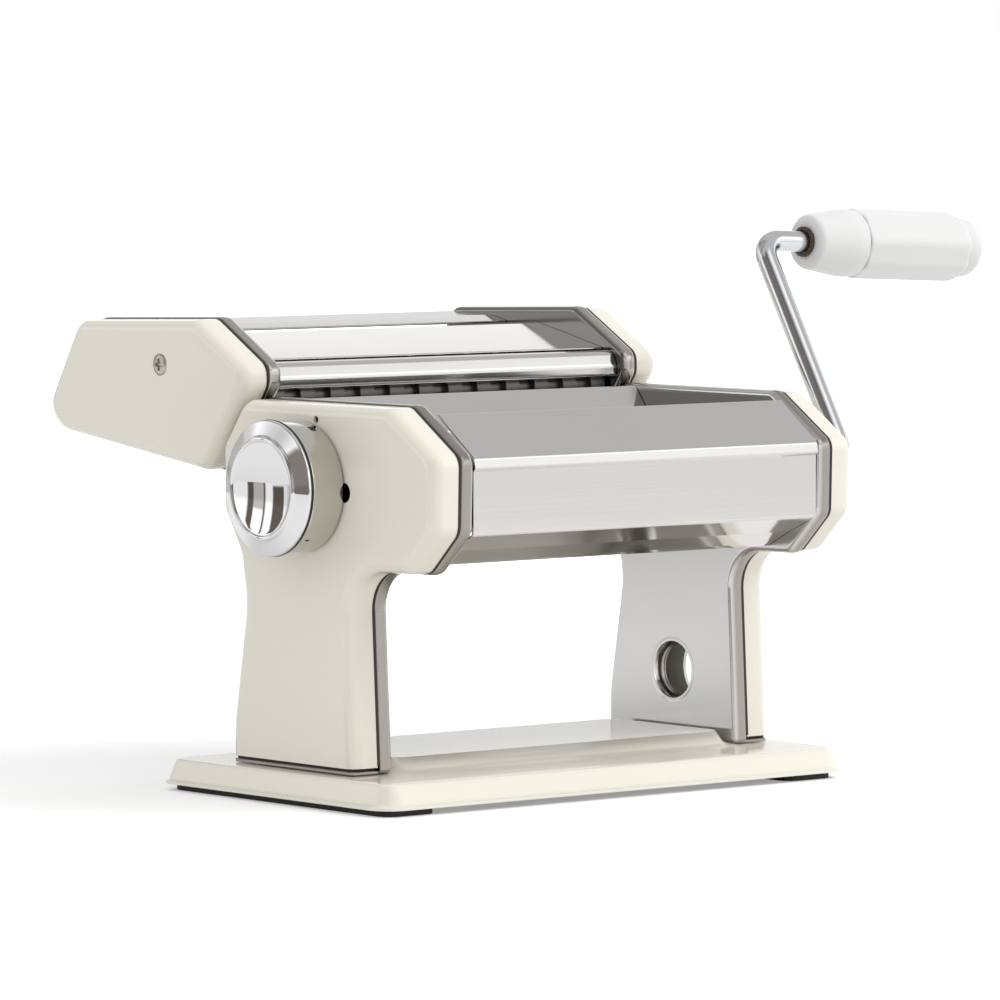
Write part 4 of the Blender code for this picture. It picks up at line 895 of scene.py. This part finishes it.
def make_screw(side, end):
    """A low domed head with a cross cut into it, its shank, and a black plate at the floor of the cross that
    paints the shade in the recess.
    """
    face = COVER_OUT - 0.4
    section = [(0.0, face - SCREW_LONG, 0.0), (SCREW_SHANK_R, face - SCREW_LONG, 0.2),
               (SCREW_SHANK_R, face, 0.0), (SCREW_R, face, 0.2), (SCREW_R - 0.15, face + 0.35, 0.15),
               (2.4, face + 0.85, 0.6), (0.0, face + 1.05, 0.0)]
    node = "cutter_screw_" + end
    head = piece("screw_head_" + end, turned(eased(on_side(section, side)), SCREW, 48), NICKEL,
                 "cutter_unit", node)
    bored(head, cross_bars(*span(side, face - 0.5, face + 3.0)))
    # A black plate at the floor of the cross: painted shade.
    floor = cross_bars(*span(side, face - 0.55, face - 0.45))
    piece("screw_recess_shade_" + end, together(*floor), MARK_AND_SHADE_BLACK, "cutter_unit", node)


make_eyelet()
for side, end in SIDES:
    make_screw(side, end)


# Knob.
def curved_patch(radius, near, far, first, last):
    """A thin plate on the drum: between two x and two turns from upright towards the front."""
    under = radius - 0.3
    rings = []
    for turn in np.linspace(first, last, 7):
        corners = ((near, radius), (far, radius), (far, under), (near, under))
        rings.append([(-x, *round_knob(reach, turn)) for x, reach in corners])
    return skin(rings)


def make_knob():
    """The drum, the dished disc, the black seam line between them, and the marks.

    The dish is a shallow bowl: floor + rise * (reach / rim) ** 2.
    """
    out, r = SKIRT_OUT, SKIRT_R
    dish_floor, dish_rise, dish_rim = KNOB_FACE - 2.3, 1.75, DISH_R - 0.5
    wall_in, pocket_r, pocket_floor, lid = r - 1.4, KNOB_BORE + 2.0, out - 8.0, out - 1.5
    drum = [(wall_in, SKIRT_IN, 0.0), (r - 0.2, SKIRT_IN, 0.3), (r + 0.1, SKIRT_IN + 6.0, 2.0),
            (r + 0.45, out - 0.9, 0.8), (r + 0.1, out, 0.3), (KNOB_BORE, out, 0.0),
            (KNOB_BORE, pocket_floor, 0.0), (pocket_r, pocket_floor, 0.0), (pocket_r, lid, 0.0),
            (wall_in, lid, 0.0)]
    # The drum's darker, warmer chrome is painted reflection.
    piece("knob_drum", turned(eased(on_side(drum, -1), 5, True), REAR_AXIS, 128, True), DRUM_CHROME_PAINTED_REFLECTION, "knob",
          "knob_skirt")
    disc = [(0.0, out + GAP, 0.0), (KNOB_R - 0.4, out + GAP, 0.2), (KNOB_R, out + 0.7, 0.4),
            (KNOB_R - 0.2, out + 1.5, 0.4), (KNOB_R - 1.1, out + 1.9, 0.5),
            (DISH_R + 1.3, KNOB_FACE - 0.75, 0.5), (DISH_R + 0.8, KNOB_FACE - 0.05, 0.5),
            (DISH_R - 0.1, KNOB_FACE, 0.5), (DISH_R - 0.6, KNOB_FACE - 0.5, 0.4)]
    bowl = [(reach, dish_floor + dish_rise * (reach / dish_rim) ** 2, 0.0)
            for reach in np.linspace(DISH_R - 1.4, 0.0, 24)]
    piece("knob_disc", turned(eased(on_side(disc + bowl, -1), 5), REAR_AXIS, 128), CHROME, "knob",
          "knob_face")
    seam = [(r - 1.0, out - 0.45), (KNOB_R - 0.05, out - 0.35), (KNOB_R + 0.05, out),
            (KNOB_R - 0.05, out + 0.4), (r - 1.0, out + 0.4)]
    piece("knob_seam", turned(on_side(seam, -1), REAR_AXIS, 128, True), MARK_AND_SHADE_BLACK, "knob", "knob_skirt")
    marks = together(curved_patch(r + 0.12, SKIRT_IN + 2.6, SKIRT_IN + 4.6, 22.5, 28.5),
                     curved_patch(r + 0.42, out - 4.4, out - 2.9, 138.0, 139.4))
    piece("knob_marks", marks, MARK_AND_SHADE_BLACK, "knob", "knob_skirt")


make_knob()


# Crank and grip.
lean = math.radians(SPINDLE_LEAN)
arm = unit(np.array([0.0, ARM_TOP[0] - FRONT_AXIS[0], ARM_TOP[1] - FRONT_AXIS[1]]))
grip_way = np.array([1.0, 0.0, 0.0]) * math.cos(lean) - arm * math.sin(lean)
arm_top = np.array([ARM_X, *ARM_TOP])
nose_end = GRIP_START + NOSE_LONG
barrel_end = nose_end + GAP + BARREL_LONG
grip_end = nose_end + BARREL_LONG
grip_bore = ROD_R + GAP
spin = np.array(Vector((0.0, 0.0, 1.0)).rotation_difference(Vector(grip_way)).to_matrix())


def along_grip(points):
    """Points about z brought to the grip's line."""
    return points @ spin.T + arm_top


def on_grip(parts):
    """Parts turned about x brought to the grip's line: (x, y, z) goes to (y, z, x) and is tilted."""
    points, faces = parts
    return along_grip(points[:, [1, 2, 0]]), faces


def make_crank():
    """A rod with two bends, from inside the roller's socket to the grip's far end."""
    low = np.array([CRANK_SHAFT_OUT - SOCKET_DEPTH + GAP, *FRONT_AXIS])
    corner = np.array([ARM_X, *FRONT_AXIS])
    far = arm_top + grip_way * grip_end
    path = np.vstack([low, corner_arc(low, corner, arm_top, ROD_BEND, 14),
                      corner_arc(corner, arm_top, far, ROD_BEND, 14), far])
    piece("crank_rod_skin", swept(path, ROD_R, 40), ZINC, "crank", "crank_rod")


def grip_barrel():
    """Eight sides with soft corners, narrower at both ends, with the bore's wall and both ends closed."""
    sides = 8
    out = GRIP_R * 0.985 / math.cos(math.pi / sides)
    turns = np.radians(GRIP_TURN + 360.0 / sides * (np.arange(sides) + 0.5))
    outline = rounded([(out * math.cos(t), out * math.sin(t), 5.0) for t in turns], 0.0, 8)
    start = nose_end + GAP
    steps = [(0.955, start), (0.985, start + 0.35), (1.0, start + 1.0), (0.99, barrel_end - 3.0),
             (0.975, barrel_end - 1.6), (0.945, barrel_end - 0.5), (0.90, barrel_end)]
    rings = [at_z(outline * scale, along) for scale, along in steps]
    bore = [at_z(unit(outline) * grip_bore, along) for along in (start, grip_end + GAP)]
    to_axis = np.array([0.0, 0.0, 1.0])
    points, faces = together(skin(rings, False), skin([rings[0], *bore, bore[1] * to_axis], False),
                             skin([rings[-1], rings[-1] * to_axis], False))
    return along_grip(points), faces


def make_grip():
    """Fibre washer, a turned nose, the barrel and a turned cap."""
    washer_r, washer_in, washer_out = ROD_R + 1.6, GRIP_START - GAP - 1.0, GRIP_START - GAP
    washer = [(grip_bore, washer_out, 0.2), (washer_r, washer_out, 0.2), (washer_r, washer_in, 0.2),
              (grip_bore, washer_in, 0.2)]
    nose = [(grip_bore, nose_end, 0.0), (GRIP_R - 0.25, nose_end, 0.25), (GRIP_R, nose_end - 4.6, 1.8),
            (NOSE_R + 0.75, GRIP_START + 1.0, 1.3), (NOSE_R - 1.0, GRIP_START - 0.2, 1.1),
            (grip_bore + 1.0, GRIP_START, 0.5), (grip_bore, GRIP_START + 1.2, 0.5)]
    start, end = barrel_end + GAP, barrel_end + GAP + CAP_LONG
    cap = [(0.0, start, 0.0), (CAP_R - 0.2, start, 0.2), (CAP_R, start + 3.0, 1.0),
           (CAP_R - 0.6, end - 2.4, 2.2), (CAP_R - 3.4, end, 2.6), (0.0, end, 0.0)]
    piece("grip_washer_skin", on_grip(turned(eased(washer, 3, True), ORIGIN, 48, True)), WASHER_BROWN,
          "crank", "grip_washer")
    piece("grip_nose_skin", on_grip(turned(eased(nose, 6, True), ORIGIN, 96, True)), GRIP_WHITE, "grip",
          "grip_nose")
    piece("grip_barrel_skin", grip_barrel(), GRIP_WHITE, "grip", "grip_barrel", 30.0)
    piece("grip_cap_skin", on_grip(turned(eased(cap, 8), ORIGIN, 96)), GRIP_WHITE, "grip", "grip_cap")


make_crank()
make_grip()


# Light, floor, camera.
CAMERA_SPOT = (-1.51096, -1.81030, 0.24863)
CAMERA_TILT, CAMERA_TURN = 3.671, 39.803
CAMERA_LENS, CAMERA_SENSOR = 248.585, 36.0
FLOOR_REACH, FLOOR_TONE = 6.0, (0.80, 0.80, 0.80)
FLOOR_LIFT, FLOOR_NEAR, FLOOR_FAR = 0.30, 0.35, 1.1
MIRROR_TABLE, TABLE_END = (0.93, 0.93, 0.935), 1.2
WORLD_FILL = 0.86
ROOM_WHITE, ROOM_DARK = (1.0, 1.0, 1.0), (0.115, 0.095, 0.080)

# Fields of the studio that mirrors see: low and high end and softness in turn, the same in height (the
# sine of the angle above level), and strength.
STUDIO = {
    "counter": ((-12.0, 100.0, 5.0), (-0.02, 0.22, 0.03), 0.40),
    "key_low": ((-78.0, -32.0, 6.0), (0.30, 0.58, 0.05), 0.62),
    "key_high": ((-108.0, -64.0, 5.0), (0.56, 0.88, 0.03), 0.70),
    "behind": ((66.0, 107.0, 6.0), (-0.2, 0.62, 0.04), 0.45),
    "patch": ((110.0, 121.0, 0.8), (-0.08, 0.25, 0.01), 1.0),
    "streak": ((127.6, 142.0, 0.8), (-0.4, 0.31, 0.01), 1.0),
    "camera_side": ((-165.0, -128.0, 5.0), (-0.7, 0.85, 0.06), 0.8)}


def add_camera():
    data = bpy.data.cameras.new("camera")
    data.lens = CAMERA_LENS
    data.sensor_width = CAMERA_SENSOR
    data.clip_end = 50.0
    camera = placed("camera", data)
    camera.location = np.array(CAMERA_SPOT) + SHIFT * MM
    camera.rotation_euler = (math.radians(90 - CAMERA_TILT), 0.0, math.radians(-CAMERA_TURN))
    bpy.context.scene.camera = camera


def add_lamp(name, spot, target, size, power, colour):
    """A square soft lamp that looks at its target."""
    data = bpy.data.lights.new(name, "AREA")
    data.size = size
    data.energy = power
    data.color = colour
    lamp = placed(name, data)
    lamp.location = spot
    way = Vector(target) - Vector(spot)
    lamp.rotation_euler = way.to_track_quat("-Z", "Y").to_euler()
    lamp.visible_glossy = False


def ray_kinds(nodes):
    """1 for each kind of ray that looks at the surface, by name."""
    path = nodes.tree.nodes.new("ShaderNodeLightPath")
    return {socket.name: Term(nodes.tree, socket) for socket in path.outputs}


def add_floor():
    """A pale floor that keeps the shadow: lifted where it is seen, white far off, for mirrors a table."""
    mesh = bpy.data.meshes.new("floor")
    corners = [(-1, -1), (1, -1), (1, 1), (-1, 1)]
    mesh.from_pydata([(FLOOR_REACH * x, FLOOR_REACH * y, 0) for x, y in corners], [], [(0, 1, 2, 3)])
    placed("floor", mesh)
    stuff = Finish("pale_floor")
    rays = ray_kinds(stuff)
    mirror = rays["Is Glossy Ray"]
    far = stuff.node("ShaderNodeVectorMath", {"Vector": stuff.spot()}, {"operation": "LENGTH"}, 1)
    fade = FLOOR_LIFT + (1.0 - FLOOR_LIFT) * stuff.rise(far, FLOOR_NEAR, FLOOR_FAR)
    stuff.feed(Base_Color=stuff.blend(mirror, FLOOR_TONE, MIRROR_TABLE), Roughness=0.9,
               Specular_IOR_Level=0.0)
    glow = stuff.node("ShaderNodeEmission",
                      {"Strength": (rays["Is Camera Ray"] + rays["Is Transmission Ray"]) * fade})
    both = stuff.node("ShaderNodeAddShader")
    clear = stuff.node("ShaderNodeBsdfTransparent")
    ends = stuff.node("ShaderNodeMixShader",
                      {"Fac": mirror * stuff.rise(far, TABLE_END, TABLE_END + 0.02)})
    stuff.tree.links.new(stuff.shader.outputs[0], both.socket.node.inputs[0])
    stuff.join(both.socket.node.inputs[1], glow)
    stuff.join(ends.socket.node.inputs[1], both)
    stuff.join(ends.socket.node.inputs[2], clear)
    stuff.join(stuff.tree.nodes["Material Output"].inputs["Surface"], ends)
    mesh.materials.append(stuff.material)


def add_world():
    """White where it is seen; mirrors see a studio: bright low down, grey above, with dark fields around."""
    world = bpy.data.worlds.new("world")
    bpy.context.scene.world = world
    world.use_nodes = True
    room = Nodes(world.node_tree)
    rays = ray_kinds(room)
    spot = room.node("ShaderNodeTexCoord", output=0)
    parts = room.node("ShaderNodeSeparateXYZ", {"Vector": spot}).socket.node
    x, y, height = (Term(room.tree, socket) for socket in parts.outputs)
    turn = x.maths("ARCTAN2", y, x) * (180 / math.pi)
    away = turn.maths("ABSOLUTE", turn, 0.0)
    field = {name: room.band(turn, *turns) * room.band(height, *heights) * strength
             for name, (turns, heights, strength) in STUDIO.items()}
    level = 1.0 + 0.32 * room.rise(height, -0.01, 0.03) - 0.66 * room.rise(height, 0.36, 0.54)
    bright = level - field["counter"] + (field["key_low"] + field["key_high"])
    opening = room.band(turn, 129.2, 137.4, 0.5) * (0.45 + 0.55 * room.rise(height, 0.05, 0.07))
    above = room.band(turn, 100.0, 166.0, 8.0) * room.rise(height, 0.46, 0.60) * 0.45
    left = room.rise(away, 160.0, 166.0) * room.band(height, -0.5, 0.56, 0.05) * 0.9
    dark = field["behind"] + field["patch"] + field["streak"] - opening + above
    dark = dark + left.maths("MAXIMUM", left, field["camera_side"])
    dark = dark.maths("MINIMUM", dark.maths("MAXIMUM", dark, 0.0), 1.0) * rays["Is Glossy Ray"]
    plain = rays["Is Camera Ray"] + rays["Is Transmission Ray"]
    lighting = 1.0 - (plain + rays["Is Glossy Ray"])
    background = room.tree.nodes["Background"].inputs
    room.join(background["Color"], room.blend(dark, ROOM_WHITE, ROOM_DARK))
    room.join(background["Strength"], plain + rays["Is Glossy Ray"] * bright + lighting * WORLD_FILL)


add_camera()
add_floor()
add_world()
add_lamp("key", (1.1, -1.0, 1.7), (0.0, 0.0, 0.08), 1.2, 22.0, (1.0, 0.99, 0.975))
bpy.context.scene.view_settings.view_transform = "Standard"
